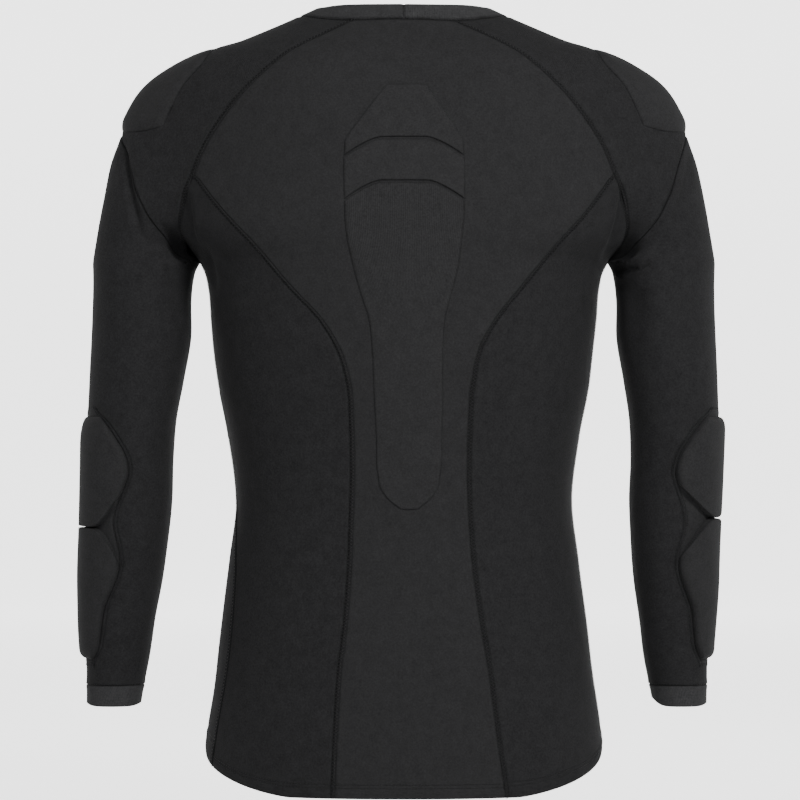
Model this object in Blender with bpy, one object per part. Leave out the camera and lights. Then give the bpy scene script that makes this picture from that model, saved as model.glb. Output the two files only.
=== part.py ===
"""Padded compression shirt: a long-sleeve raglan shirt with foam pads, in its worn, hollow shape.

The tables are in millimetres and degrees, and the scene is in metres. +Z is up, the back faces -Y and the
wearer's right arm is at +X. The origin is on the body's middle line, at the height of the back neck seam.

A level says how far down the shirt a line round it lies: 0 is the neck seam, ARMPIT is where body and sleeves
part, and below that one level is BODY_STEP down the body or ARM_STEP down a sleeve. Depths are measured out
from the middle plane, backwards on the back and forwards on the front.
"""

import math

import bmesh
import bpy
import numpy as np

MM = 0.001
BACK, FRONT = -1, 1
LEFT, RIGHT = -1, 1

CLOTH = 1.5
SEAM_GAP = 0.36
MOST_MITRE = 4.0
STEP = 0.002

ARMPIT = 10
ARMPIT_Z = -213
BODY_STEP = 48.4
HEM_START = 18
HEM = 20
ARM_STEP = 38.1
CUFF_SEAM = 20

BODY_FULLNESS = 1.1
SLEEVE_ROUNDNESS = 1.06
HEM_BACK_Z = -684
HEM_SIDE_RISE = 36
HEM_LEVEL_PART = 0.35
HEM_FRONT_RISE = 12
SLEEVE_LEAN = 6.5
LEAN_START_Z = -290

BODY_LEVELS = (0, 0.5, 1, 1.5, 2, 3, 4, 5)
BELOW_ARMPIT = (10.25, 10.6, 11.2, 12, 12.8, 13.6, 14.4, 15.2, 16, 16.8, 17.6, 18.5, 19.3, 20)
SIDE_BACK_START = 6.12
UPPER_LEVELS = BODY_LEVELS + (SIDE_BACK_START, 7, 7.8, 8.6, 9.3, ARMPIT)
ALL_LEVELS = UPPER_LEVELS + BELOW_ARMPIT
BACK_COLUMNS = 7
SIDE_COLUMNS = 6
FRONT_COLUMNS = 16


class Sections:
    """Rows of sizes at places along the shirt, joined by smooth curves that can be read anywhere."""

    def __init__(self, columns, rows):
        rows = np.array(sorted(rows), float)
        self.places = rows[:, 0]
        self.sizes = dict(zip(columns.split()[1:], rows[:, 1:].T))
        self.slopes = {name: np.gradient(size, self.places) for name, size in self.sizes.items()}

    def at(self, name, place):
        place = min(max(place, self.places[0]), self.places[-1])
        k = min(max(int(np.searchsorted(self.places, place)) - 1, 0), len(self.places) - 2)
        step = self.places[k + 1] - self.places[k]
        size = self.sizes[name]
        slope = self.slopes[name] * step
        return hermite(size[k], size[k + 1], slope[k], slope[k + 1], (place - self.places[k]) / step)


BACK_YOKE = Sections(
    "level middle_depth middle_z seam_x seam_depth seam_z body_turn sleeve_turn",
    [
        (0, 72, 0, 42.8, 69.5, -0.8, 16, 16),
        (1, 88, -20, 88.7, 80, -23.4, 26, 26),
        (2, 99, -37.5, 112.3, 86, -38.7, 30, 30),
        (3, 109, -63.5, 140, 86, -64, 33, 33),
        (4, 116, -87.3, 159.2, 80.5, -87.3, 34, 34),
        (5, 121, -112.2, 175.5, 74, -112.2, 36, 34),
        (6, 124, -136.2, 185.8, 68, -136.2, 39, 28),
        (7, 125.3, -154.2, 193.4, 61, -154.2, 46, 16),
        (8, 126.2, -178.3, 198, 46, -178.3, 60, -12),
        (9, 126.3, -195.5, 195.2, 27, -195.5, 74, -48),
        (10, 126, -213, 183, 0, -213, 90, -90),
    ],
)
FRONT_YOKE = Sections(
    "level middle_depth middle_z seam_x seam_depth seam_z body_turn sleeve_turn",
    [
        (0, 68, -70, 64, 42, -30, 42, 42),
        (1, 81, -84, 82, 57, -47, 38, 38),
        (2, 91, -97, 97, 67, -62, 36, 36),
        (3, 101, -111, 115, 76, -82, 35, 35),
        (4, 109, -124, 131, 80, -100, 35, 35),
        (5, 115, -138, 147, 80, -120, 37, 35),
        (6, 119, -150, 160, 74, -140, 41, 29),
        (7, 121, -163, 169, 66, -157, 48, 14),
        (8, 123, -184, 180, 49, -180, 62, -16),
        (9, 124, -199, 185, 29, -196, 76, -52),
        (10, 124, -213, 183, 0, -213, 90, -90),
    ],
)
SHOULDER_LINE = Sections(
    "level x y z",
    [
        (0, 95, -8, 4.5),
        (1, 143, -4, -14.8),
        (2, 172, -2, -23.5),
        (3, 206, 0, -40),
        (4, 231.5, 0, -58.5),
        (5, 247.5, 0, -83.5),
        (6, 258, 0, -110),
        (7, 264.6, 0, -130),
        (8, 271, 0, -162),
        (9, 275.3, 0, -187),
        (10, 279.8, 0, -213),
    ],
)
TORSO = Sections(
    "z half_width back_depth front_depth",
    [
        (-213, 183, 126, 124),
        (-222, 178.6, 126, 124),
        (-235, 175.6, 125.6, 123.5),
        (-265, 172.8, 124.2, 122),
        (-319, 167, 119.5, 116),
        (-373, 157, 112.5, 108),
        (-427, 150.8, 107.8, 102),
        (-481, 157, 108.6, 101),
        (-535, 163.8, 113, 103),
        (-589, 170.1, 118, 106),
        (-643, 177.8, 121.5, 109),
        (-690, 182, 123, 110.5),
    ],
)
ARM = Sections(
    "z inner_x outer_x middle_y half_depth",
    [
        (-213, 183, 279.8, 0, 51),
        (-221, 187.2, 279.6, 0, 51),
        (-229, 189, 279.4, 0, 51),
        (-247, 191, 279.6, 0, 50.5),
        (-283, 191.7, 281, 0.5, 50),
        (-319, 197.5, 282.5, 1, 48.5),
        (-355, 203.9, 284, 2, 46.5),
        (-391, 206, 283.7, 4, 45),
        (-427, 206, 283.5, 6, 43.5),
        (-463, 208.4, 283.5, 9, 42),
        (-499, 212.9, 283.5, 13, 39.5),
        (-535, 218.7, 282.6, 17, 36),
        (-571, 224, 280.8, 21, 32.5),
        (-594, 228.5, 281, 23, 29),
        (-613, 232, 281, 24.5, 28),
    ],
)
# The long seams of the back swing a little to the wearer's right on their way down.
BACK_SEAM = Sections(
    "z half_width swing",
    [
        (-139, 186, 0),
        (-169, 161.6, 1),
        (-201, 132.8, 1.5),
        (-239, 101, 2),
        (-267, 76.9, 4),
        (-296, 60.9, 5),
        (-322, 54.5, 6),
        (-361, 51.8, 6),
        (-401, 51.1, 6),
        (-437, 52.2, 6),
        (-483, 54.8, 7),
        (-530, 59.7, 8.5),
        (-576, 66.2, 9.6),
        (-628, 71.3, 11.4),
        (-690, 77, 14.5),
    ],
)
SIDE_SEAM = Sections(
    "z left right",
    [(-213, 1, 1), (-300, 1, 1), (-400, 0.98, 1), (-481, 0.8, 1), (-690, 0.8, 1)],
)
# How far round from the sleeve's outermost line the arm panel reaches, backwards and forwards.
ARM_PANEL = Sections(
    "z back front",
    [
        (-213, 62, -14),
        (-300, 56, -6),
        (-344, 36, 14),
        (-357, 59, -9),
        (-371, 76, -26),
        (-386, 90, -40),
        (-400, 95, -45),
        (-417, 88, -38),
        (-433, 79, -29),
        (-446, 75.5, -25),
        (-459, 80, -30),
        (-474, 87, -37),
        (-486, 89, -39),
        (-499, 84.5, -34),
        (-511, 77, -27),
        (-522, 70, -20),
        (-542, 65, -15),
        (-560, 58, -8),
        (-576, 42, 8),
        (-594, 50, 0),
    ],
)
# The seam between shoulder panel and sleeve, once round the arm from the armpit over the back.
ARM_SEAM = Sections(
    "round level",
    [
        (0, 10),
        (0.03, 9.8),
        (0.065, 9.25),
        (0.1, 8.5),
        (0.15, 7.85),
        (0.225, 7.2),
        (0.32, 6.25),
        (0.4, 5.8),
        (0.5, 5.6),
        (0.58, 6.2),
        (0.68, 7.5),
        (0.8, 8.8),
        (0.92, 9.7),
        (1, 10),
    ],
)
SPINE = Sections(
    "z half_width middle",
    [
        (-61, 14, 2),
        (-64, 19, 2),
        (-66, 20.5, 1.8),
        (-84, 33.6, 1),
        (-106, 49.6, 0.3),
        (-110, 51.6, 0.2),
        (-116, 52.1, 0.2),
        (-163, 52.5, 0.5),
        (-178, 52.1, 0.5),
        (-198, 49.9, 0.5),
        (-218, 46.6, 1.5),
        (-251, 37.8, 2),
        (-264, 33.9, 2.5),
        (-288, 31.3, 3),
        (-335, 30.1, 4),
        (-367, 28.8, 4.5),
        (-402, 27.5, 4.5),
        (-416, 24, 4.5),
        (-424, 17.9, 4.5),
        (-433, 6, 5),
    ],
)


def hermite(start, end, leave, arrive, t):
    rise = 3 * t * t - 2 * t**3
    return start + (end - start) * rise + leave * t * (1 - t) ** 2 - arrive * t * t * (1 - t)


def cubic(points, t):
    a, b, c, d = points
    return a * (1 - t) ** 3 + 3 * b * t * (1 - t) ** 2 + 3 * c * t * t * (1 - t) + d * t**3


def body_plan(depth, seam, turn, t):
    """From the middle line, square to it, out to the seam, which it meets at the given turn."""
    angle = math.radians(turn)
    reach = BODY_FULLNESS * 4 / 3 * math.tan(angle / 4) / math.sin(angle)
    heading = np.array([math.cos(angle), -math.sin(angle)])
    middle = np.array([0.0, depth])
    along = (seam - middle) @ heading
    return cubic((middle, middle + (reach * seam[0], 0), seam - reach * along * heading, seam), t)


def sleeve_plan(seam, tip, turn, roundness, t):
    """From the seam, which it leaves at the given turn, to the outermost line, which it meets square."""
    angle = math.radians(turn)
    sweep = math.radians(90 - turn)
    chord = np.hypot(*(tip - seam))
    reach = roundness * chord * 2 / 3 * math.tan(sweep / 4) / math.sin(sweep / 2)
    leave = reach * np.array([math.cos(angle), -math.sin(angle)])
    return cubic((seam, seam + leave, tip + (0, reach), tip), t)


def yoke_sizes(face, level):
    yoke = BACK_YOKE if face == BACK else FRONT_YOKE
    return {name: yoke.at(name, level) for name in yoke.sizes}


def seam_slope(face, level):
    """How fast a line round the shirt climbs, for each mm outwards, where it crosses the raglan seam."""
    row = yoke_sizes(face, level)
    body_length = np.hypot(row["seam_x"], row["middle_depth"] - row["seam_depth"])
    arm_length = SHOULDER_LINE.at("x", level) - row["seam_x"] + row["seam_depth"]
    inner = (row["seam_z"] - row["middle_z"]) / body_length
    outer = (SHOULDER_LINE.at("z", level) - row["seam_z"]) / arm_length
    return (inner * arm_length + outer * body_length) / (body_length + arm_length)


def hem_z(face, t):
    side_z = HEM_BACK_Z + HEM_SIDE_RISE
    if face == BACK:
        return HEM_BACK_Z + HEM_SIDE_RISE * (max(t - HEM_LEVEL_PART, 0) / (1 - HEM_LEVEL_PART)) ** 1.3
    return side_z + HEM_FRONT_RISE * (1 - t**4)


def body_half(face, t, level):
    """A point of the body on its right half, t of the way from the middle line to the seam."""
    if level <= ARMPIT:
        row = yoke_sizes(face, level)
        seam = np.array([row["seam_x"], row["seam_depth"]])
        x, depth = body_plan(row["middle_depth"], seam, row["body_turn"], t)
        length = np.hypot(seam[0], row["middle_depth"] - seam[1])
        z = hermite(row["middle_z"], row["seam_z"], 0, seam_slope(face, level) * length, t)
        return np.array([x, face * depth, z])
    z = ARMPIT_Z - (min(level, HEM_START) - ARMPIT) * BODY_STEP
    if level > HEM_START:
        z += (hem_z(face, t) - z) * (level - HEM_START) / (HEM - HEM_START)
    depth = TORSO.at("back_depth" if face == BACK else "front_depth", z)
    x, depth = body_plan(depth, np.array([TORSO.at("half_width", z), 0]), 90, t)
    return np.array([x, face * depth, z])


def back_round(side, t, level):
    """The back of one half of the body: t is 0 on the middle line and 1 at the raglan or side seam."""
    return body_half(BACK, t, level) * (side, 1, 1)


def front_round(side, t, level):
    """The front of one half of the body: t is 1 at the raglan or side seam and 2 on the middle line."""
    return body_half(FRONT, 2 - t, level) * (side, 1, 1)


def body_round(side, t, level):
    return back_round(side, t, level) if t < 1 else front_round(side, t, level)


def arm_z(level):
    return ARMPIT_Z - (level - ARMPIT) * ARM_STEP


def sleeve_round(side, t, level):
    """Round a sleeve: t is 0 at the back raglan seam or the arm's inner line, 0.5 outermost and 1 in front."""
    face = BACK if t <= 0.5 else FRONT
    part = 2 * min(t, 1 - t)
    if level <= ARMPIT:
        row = yoke_sizes(face, level)
        tip_x, tip_y, tip_z = (SHOULDER_LINE.at(name, level) for name in "xyz")
        seam = np.array([row["seam_x"], row["seam_depth"]])
        tip = np.array([tip_x, face * tip_y])
        x, depth = sleeve_plan(seam, tip, row["sleeve_turn"], SLEEVE_ROUNDNESS, part)
        length = np.hypot(*(tip - seam))
        tip_slope = 0
        if level < ARMPIT - 2:
            back, front = yoke_sizes(BACK, level), yoke_sizes(FRONT, level)
            tip_slope = -face * (front["seam_z"] - back["seam_z"]) / (2 * length)
        z = hermite(row["seam_z"], tip_z, seam_slope(face, level) * length, tip_slope * length, part)
        return np.array([side * x, face * depth, z])
    z = arm_z(level)
    inner_x, outer_x, middle_y, half_depth = (ARM.at(name, z) for name in ARM.sizes)
    inner = np.array([inner_x, face * middle_y])
    outer = np.array([outer_x, face * middle_y])
    x, depth = sleeve_plan(inner, outer, -90, 2 * half_depth / (outer_x - inner_x), part)
    lean = np.clip((LEAN_START_Z - z) / (LEAN_START_Z - arm_z(CUFF_SEAM)), 0, 1)
    x -= side * SLEEVE_LEAN * lean * lean * (3 - 2 * lean)
    return np.array([side * x, face * depth, z])


SPANS = {back_round: (0, 1), front_round: (1, 2), body_round: (0, 2), sleeve_round: (0, 1)}


def spot(surface, side, t, level, low=0.0, high=HEM):
    """A point of a surface with its outward direction, found from small steps kept between two levels."""
    first, last = SPANS[surface]
    before, after = max(t - STEP, first), min(t + STEP, last)
    above, below = max(level - STEP, low), min(level + STEP, high)
    across = surface(side, after, level) - surface(side, before, level)
    down = surface(side, t, below) - surface(side, t, above)
    normal = np.cross(down, across) * side
    return surface(side, t, level), normal / np.linalg.norm(normal)


def body_level(z):
    """The level at which the back's middle line is at height z."""
    if z < ARMPIT_Z:
        return ARMPIT + (ARMPIT_Z - z) / BODY_STEP
    low, high = 0.0, float(ARMPIT)
    for _ in range(30):
        middle = (low + high) / 2
        low, high = (middle, high) if BACK_YOKE.at("middle_z", middle) > z else (low, middle)
    return low


def part_of_back(x, level):
    """How far from the middle line to the seam a point of the back lies, from its distance x."""
    low, high = 0.0, 1.0
    for _ in range(30):
        middle = (low + high) / 2
        low, high = (middle, high) if body_half(BACK, middle, level)[0] < x else (low, middle)
    return low


def back_spot(x, z):
    """The spot of the back that lies at x and z."""
    level = body_level(z)
    side = RIGHT if x >= 0 else LEFT
    return spot(back_round, side, part_of_back(abs(x), level), level)


def back_seam_part(side, level):
    """Where the long seam crosses a line round the body. Above its start the raglan seam is the edge."""
    if level <= SIDE_BACK_START:
        return 1.0
    z = body_half(BACK, 0.4, level)[2]
    return part_of_back(BACK_SEAM.at("half_width", z) + side * BACK_SEAM.at("swing", z), level)


def side_seam_part(side, level):
    return SIDE_SEAM.at("left" if side == LEFT else "right", body_half(BACK, 1, level)[2])


def arm_part(angle):
    """The part of the way round a sleeve, from degrees round from its outermost line, backwards positive."""
    return 0.5 - angle / 360


def sleeve_angles(z):
    """The columns of a sleeve at height z. Six of the steps lie between the arm panel's edges."""
    back, front = ARM_PANEL.at("back", z), ARM_PANEL.at("front", z)
    return np.concatenate(
        [np.linspace(180, back, 6), np.linspace(back, front, 7)[1:], np.linspace(front, -180, 8)[1:]]
    )


PANEL_COLUMNS = range(5, 11)
TOP_COLUMNS = [arm_part(angle) for angle in sleeve_angles(ARMPIT_Z)]


def make_material(name, color, roughness):
    material = bpy.data.materials.new(name)
    material.use_nodes = True
    shader = material.node_tree.nodes["Principled BSDF"]
    shader.inputs["Base Color"].default_value = (*color, 1)
    shader.inputs["Roughness"].default_value = roughness
    shader.inputs["Metallic"].default_value = 0
    return material


def add_solid(name, bm, color, roughness=0.75):
    for vert in bm.verts:
        vert.co *= MM
    mesh = bpy.data.meshes.new(name)
    bm.to_mesh(mesh)
    bm.free()
    mesh.shade_smooth()
    mesh.set_sharp_from_angle(angle=math.radians(40))
    mesh.materials.append(make_material(name, color, roughness))
    bpy.context.scene.collection.objects.link(bpy.data.objects.new(name, mesh))


def draw_in(bm, amount):
    """Pulls every raw edge of a sheet back along the sheet, which leaves the gap at a seam."""
    moves = {}
    for edge in bm.edges:
        if not edge.is_boundary:
            continue
        along = (edge.verts[1].co - edge.verts[0].co).normalized()
        inward = edge.link_faces[0].calc_center_median() - edge.verts[0].co
        inward = (inward - inward.dot(along) * along).normalized()
        for vert in edge.verts:
            moves.setdefault(vert, []).append(inward)
    for vert, inwards in moves.items():
        total = sum(inwards[1:], inwards[0])
        share = max(1 + inwards[0].dot(inwards[-1]), 1 / MOST_MITRE)
        vert.co += total * amount / share


def sheet_wall(name, rows, color, closed=False, gap=None, pointed=False):
    """A cloth wall from rows of spots on its outer face. gap picks grid faces that are left open."""
    bm = bmesh.new()
    out = bm.verts.layers.float_vector.new("out")
    grid = []
    for row in rows:
        verts = []
        for point, normal in row:
            vert = bm.verts.new(point)
            vert[out] = normal
            verts.append(vert)
        grid.append(verts + verts[:1] if closed else verts)
    for i in range(len(grid) - 1):
        for j in range(len(grid[i]) - 1):
            if gap is None or not gap(i, j):
                bm.faces.new((grid[i][j], grid[i + 1][j], grid[i + 1][j + 1], grid[i][j + 1]))
    bmesh.ops.delete(bm, geom=[vert for vert in bm.verts if not vert.link_faces], context="VERTS")
    if pointed:
        bmesh.ops.remove_doubles(bm, verts=bm.verts, dist=0.01)
    draw_in(bm, SEAM_GAP / 2)
    inner = {vert: bm.verts.new(vert.co - vert[out] * CLOTH) for vert in list(bm.verts)}
    for face in list(bm.faces):
        bm.faces.new([inner[vert] for vert in reversed(face.verts)])
    for edge in [edge for edge in bm.edges if edge.is_boundary and edge.verts[0] in inner]:
        a, b = edge.verts
        bm.faces.new((a, b, inner[b], inner[a]))
    bmesh.ops.recalc_face_normals(bm, faces=bm.faces)
    add_solid(name, bm, color)


BLACK_KNIT = (0.024, 0.024, 0.026)
SMOOTH_KNIT = (0.03, 0.03, 0.032)
PAD_KNIT = (0.02, 0.02, 0.022)


def make_back_centre():
    rows = []
    for level in ALL_LEVELS:
        left, right = back_seam_part(LEFT, level), back_seam_part(RIGHT, level)
        steps = np.linspace(0, 1, BACK_COLUMNS + 1)
        row = [spot(back_round, LEFT, left * step, level) for step in reversed(steps[1:])]
        rows.append(row + [spot(back_round, RIGHT, right * step, level) for step in steps])
    sheet_wall("back_centre", rows, SMOOTH_KNIT)


def make_side_back(name, side):
    rows = []
    for level in ALL_LEVELS[ALL_LEVELS.index(SIDE_BACK_START) :]:
        parts = np.linspace(back_seam_part(side, level), side_seam_part(side, level), SIDE_COLUMNS + 1)
        rows.append([spot(back_round, side, part, level) for part in parts])
    sheet_wall(name, rows, BLACK_KNIT, pointed=True)


def make_front():
    rows = []
    for level in ALL_LEVELS:
        row = []
        surface = body_round if level > ARMPIT else front_round
        for side in (LEFT, RIGHT):
            start = side_seam_part(side, level) if level > ARMPIT else 1.0
            parts = np.linspace(start, 2, FRONT_COLUMNS // 2 + 1)
            half = [spot(surface, side, part, level) for part in parts]
            row += half if side == LEFT else half[-2::-1]
        rows.append(row)
    sheet_wall("front", rows, BLACK_KNIT)


def make_shoulder(name, side):
    rows = []
    for level in UPPER_LEVELS:
        row = []
        for t in TOP_COLUMNS:
            place = level * ARM_SEAM.at("level", t) / ARMPIT
            row.append(spot(sleeve_round, side, t, place, high=ARMPIT))
        rows.append(row)
    sheet_wall(name, rows, BLACK_KNIT)


CAP_ROWS = 4
CAP_END = 12
ABOVE_PANEL = (-315, -330)
BESIDE_PANEL = (-344, -357, -371, -386, -403, -418, -433, -446, -460, -478, -499, -520, -540, -560, -576)
SLEEVE_ZS = ABOVE_PANEL + BESIDE_PANEL + (-585,)


def sleeve_rows(side):
    rows = [[spot(sleeve_round, side, t, ARM_SEAM.at("level", t), high=ARMPIT) for t in TOP_COLUMNS[:-1]]]
    for i in range(1, CAP_ROWS + 1):
        starts = [(t, ARM_SEAM.at("level", t)) for t in TOP_COLUMNS[:-1]]
        rows.append([spot(sleeve_round, side, t, top + (CAP_END - top) * i / CAP_ROWS) for t, top in starts])
    for z in SLEEVE_ZS + (arm_z(CUFF_SEAM),):
        rows.append(sleeve_ring(side, z))
    return rows


def sleeve_ring(side, z):
    level = ARMPIT + (ARMPIT_Z - z) / ARM_STEP
    return [spot(sleeve_round, side, arm_part(a), level, low=ARMPIT, high=21) for a in sleeve_angles(z)[:-1]]


def make_sleeve(name, side):
    first = CAP_ROWS + 1 + len(ABOVE_PANEL)
    last = first + len(BESIDE_PANEL) - 1
    sheet_wall(
        name,
        sleeve_rows(side),
        BLACK_KNIT,
        closed=True,
        gap=lambda i, j: first <= i < last and j in PANEL_COLUMNS,
    )


def make_arm_panel(name, side):
    rows = []
    for z in BESIDE_PANEL:
        rows.append(sleeve_ring(side, z)[PANEL_COLUMNS.start : PANEL_COLUMNS.stop + 1])
    sheet_wall(name, rows, SMOOTH_KNIT)


def make_cuff(name, side):
    top = arm_z(CUFF_SEAM)
    rows = [sleeve_ring(side, top - drop) for drop in (0, 10, 19)]
    sheet_wall(name, rows, SMOOTH_KNIT, closed=True)


COLLAR_EDGE = Sections(
    "round x y z",
    [
        (0, 0, -64, 13.5),
        (0.3, 12.5, -63.8, 13.5),
        (1, 39, -61, 13.5),
        (2, 66, -47, 13),
        (3, 80, -12, 9.5),
        (4, 67, 30, -20),
        (5, 51, 43, -34),
        (5.4, 32, 50.5, -45.5),
        (5.8, 11, 54.6, -52.3),
        (6, 0, 55, -53),
    ],
)


def neck_spot(t):
    """A spot of the neck seam on the right: t runs from 0 at the back to 6 in front."""
    if t < 1:
        return spot(back_round, RIGHT, t, 0)
    if t <= 5:
        return spot(sleeve_round, RIGHT, (t - 1) / 4, 0)
    return spot(front_round, RIGHT, t - 4, 0)


def collar_spot(side, t, height):
    """A spot of the collar, whose height is 0 at the seam and 1 at its edge."""
    seam, upright = neck_spot(t)
    edge = np.array([COLLAR_EDGE.at(name, t) for name in "xyz"])
    band = edge - seam
    ahead, behind = neck_spot(min(t + STEP, 6))[0], neck_spot(max(t - STEP, 0))[0]
    normal = np.cross(ahead - behind, band)
    normal /= np.linalg.norm(normal)
    normal = upright + (normal - upright) * min(2 * height, 1)
    mirror = np.array([side, 1, 1])
    return (seam + band * height) * mirror, normal / np.linalg.norm(normal) * mirror


def make_collar():
    half = [step / BACK_COLUMNS for step in range(BACK_COLUMNS)]
    half += [1 + 4 * t for t in TOP_COLUMNS]
    front_steps = FRONT_COLUMNS // 2
    half += [5 + step / front_steps for step in range(1, front_steps + 1)]
    rows = []
    for height in (1, 0):
        row = [collar_spot(RIGHT, t, height) for t in half]
        row += [collar_spot(LEFT, t, height) for t in half[-2:0:-1]]
        rows.append(row)
    sheet_wall("collar", rows, SMOOTH_KNIT, closed=True)


PAD_LIFT = 0.6
PAD_EDGE = 1.0
PAD_BEVEL = 5.0


def pad_solid(name, place, width, length, rise, lift=PAD_LIFT, columns=9, rows=8):
    """A pad with rounded edges. place(s, t) gives its spots, s across and t down, each from 0 to 1."""
    bm = bmesh.new()
    side_bevel = min(PAD_BEVEL / width, 0.24)
    end_bevel = min(PAD_BEVEL / length, 0.24)
    across = [0, side_bevel * 0.4, *np.linspace(side_bevel, 1 - side_bevel, columns - 3), 1 - side_bevel * 0.4, 1]
    down = [0, end_bevel * 0.4, *np.linspace(end_bevel, 1 - end_bevel, rows - 3), 1 - end_bevel * 0.4, 1]
    top, bottom = [], []
    for t in down:
        top_row, bottom_row = [], []
        for s in across:
            point, normal = place(s, t)
            near = min(min(s, 1 - s) / side_bevel, min(t, 1 - t) / end_bevel, 1)
            height = PAD_EDGE + (rise - PAD_EDGE) * math.sin(near * math.pi / 2)
            top_row.append(bm.verts.new(point + normal * (lift + height)))
            bottom_row.append(bm.verts.new(point + normal * lift))
        top.append(top_row)
        bottom.append(bottom_row)
    for grid in (top, bottom):
        for upper, lower in zip(grid, grid[1:]):
            for j in range(len(across) - 1):
                bm.faces.new((upper[j], lower[j], lower[j + 1], upper[j + 1]))
    rims = [(top[0], bottom[0]), (top[-1], bottom[-1])]
    rims += [([row[k] for row in top], [row[k] for row in bottom]) for k in (0, -1)]
    for upper, lower in rims:
        for j in range(len(upper) - 1):
            bm.faces.new((upper[j], lower[j], lower[j + 1], upper[j + 1]))
    bmesh.ops.recalc_face_normals(bm, faces=bm.faces)
    add_solid(name, bm, PAD_KNIT, 0.7)


SPINE_RISE = 3.8
SPINE_TOP_Z = -61
SPINE_END_Z = -433
GROOVE = 3.0
# Two arched grooves part the spine pad: their height on the middle line and how far they drop at its edges.
SPINE_GROOVES = Sections(
    "number middle_z drop",
    [(0, SPINE_TOP_Z, 0), (1, -109, 15.5), (2, -147, 15.5), (3, SPINE_END_Z, 0)],
)


def spine_line(number, across):
    """The height of a line over the spine pad, where across is -1 to 1 from its left edge to its right."""
    arch = max(abs(across) - 0.4, 0) / 0.6
    return SPINE_GROOVES.at("middle_z", number) - SPINE_GROOVES.at("drop", number) * arch**1.4


def make_spine_pad(name, number, rows):
    def place(s, t):
        across = 2 * s - 1
        top = spine_line(number, across) - (GROOVE / 2 if number else 0)
        bottom = spine_line(number + 1, across) + (GROOVE / 2 if number < 2 else 0)
        z = top + (bottom - top) * t
        return back_spot(SPINE.at("middle", z) + across * SPINE.at("half_width", z), z)

    top_z, end_z = spine_line(number, 0), spine_line(number + 1, 0)
    pad_solid(name, place, 80, top_z - end_z, SPINE_RISE, rows=rows)


SHOULDER_LIFT = 1.3
SHOULDER_RISE = 3.0
SHOULDER_PAD = Sections(
    "part middle_level edge_level reach",
    [
        (0, 1.95, 2.05, 0.11),
        (0.25, 2.85, 2.6, 0.21),
        (0.5, 3.75, 3.4, 0.25),
        (0.75, 4.6, 4.1, 0.28),
        (1, 5.45, 4.75, 0.295),
    ],
)


def make_shoulder_pad(name, side):
    def place(s, t):
        across = 2 * s - 1
        middle, edge = SHOULDER_PAD.at("middle_level", t), SHOULDER_PAD.at("edge_level", t)
        level = middle + (edge - middle) * abs(across) ** 3
        return spot(sleeve_round, side, 0.5 + across * SHOULDER_PAD.at("reach", t), level)

    pad_solid(name, place, 90, 90, SHOULDER_RISE, SHOULDER_LIFT, columns=12, rows=11)


ARM_PAD_LIFT = 0.95
ARM_PAD_RISE = 5.5
PAD_MARGIN = 4
ELBOW_PAD_TOP_Z = -352
FOREARM_PAD_END_Z = -566
# Where the two arm pads face each other: the height at the panel's edges, how much further the pad reaches
# outermost, and how square its corners are. They differ a little between the arms.
ELBOW_PAD_END = {LEFT: (-418, -30, 5), RIGHT: (-411, -29, 2.2)}
FOREARM_PAD_TOP = {LEFT: (-488, 33, 5), RIGHT: (-477, 33, 2.6)}


def arched(end, s):
    """The height of a pad's end: at the panel's edges, changed by its reach between them."""
    edge_z, reach, squareness = end
    return edge_z + reach * (1 - abs(2 * s - 1) ** squareness)


def make_arm_pad(name, side, top, end):
    """A pad on the arm panel, between two arched ends."""

    def place(s, t):
        top_z = arched(top, s)
        z = top_z + (arched(end, s) - top_z) * t
        back = ARM_PANEL.at("back", z) - PAD_MARGIN
        front = ARM_PANEL.at("front", z) + PAD_MARGIN
        level = ARMPIT + (ARMPIT_Z - z) / ARM_STEP
        return spot(sleeve_round, side, arm_part(back + (front - back) * s), level, low=ARMPIT, high=21)

    pad_solid(name, place, 90, 90, ARM_PAD_RISE, ARM_PAD_LIFT, columns=12, rows=9)


def main():
    for old in list(bpy.data.objects):
        bpy.data.objects.remove(old, do_unlink=True)
    make_collar()
    make_back_centre()
    make_front()
    for word, side in (("left", LEFT), ("right", RIGHT)):
        make_side_back("side_back_" + word, side)
        make_shoulder("shoulder_" + word, side)
        make_sleeve("sleeve_" + word, side)
        make_arm_panel("elbow_panel_" + word, side)
        make_cuff("cuff_" + word, side)
        make_shoulder_pad("shoulder_pad_" + word, side)
        make_arm_pad("elbow_pad_" + word, side, (ELBOW_PAD_TOP_Z, 0, 1), ELBOW_PAD_END[side])
        make_arm_pad("forearm_pad_" + word, side, FOREARM_PAD_TOP[side], (FOREARM_PAD_END_Z, 0, 1))
    make_spine_pad("spine_pad_top", 0, 7)
    make_spine_pad("spine_pad_middle", 1, 7)
    make_spine_pad("spine_pad_lower", 2, 18)


if __name__ == "__main__":
    main()
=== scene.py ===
"""Padded compression shirt: knit panels, foam pads, sewing and a plain studio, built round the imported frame.

Sizes in the tables are in millimetres and degrees. +Z is up, the back faces -Y and the wearer's right arm is
at +X. A level says how far down the shirt a line round it lies: 0 is the neck seam, ARMPIT is where body and
sleeves part, and below that one level is BODY_STEP down the body or ARM_STEP down a sleeve.
"""

import math

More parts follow.
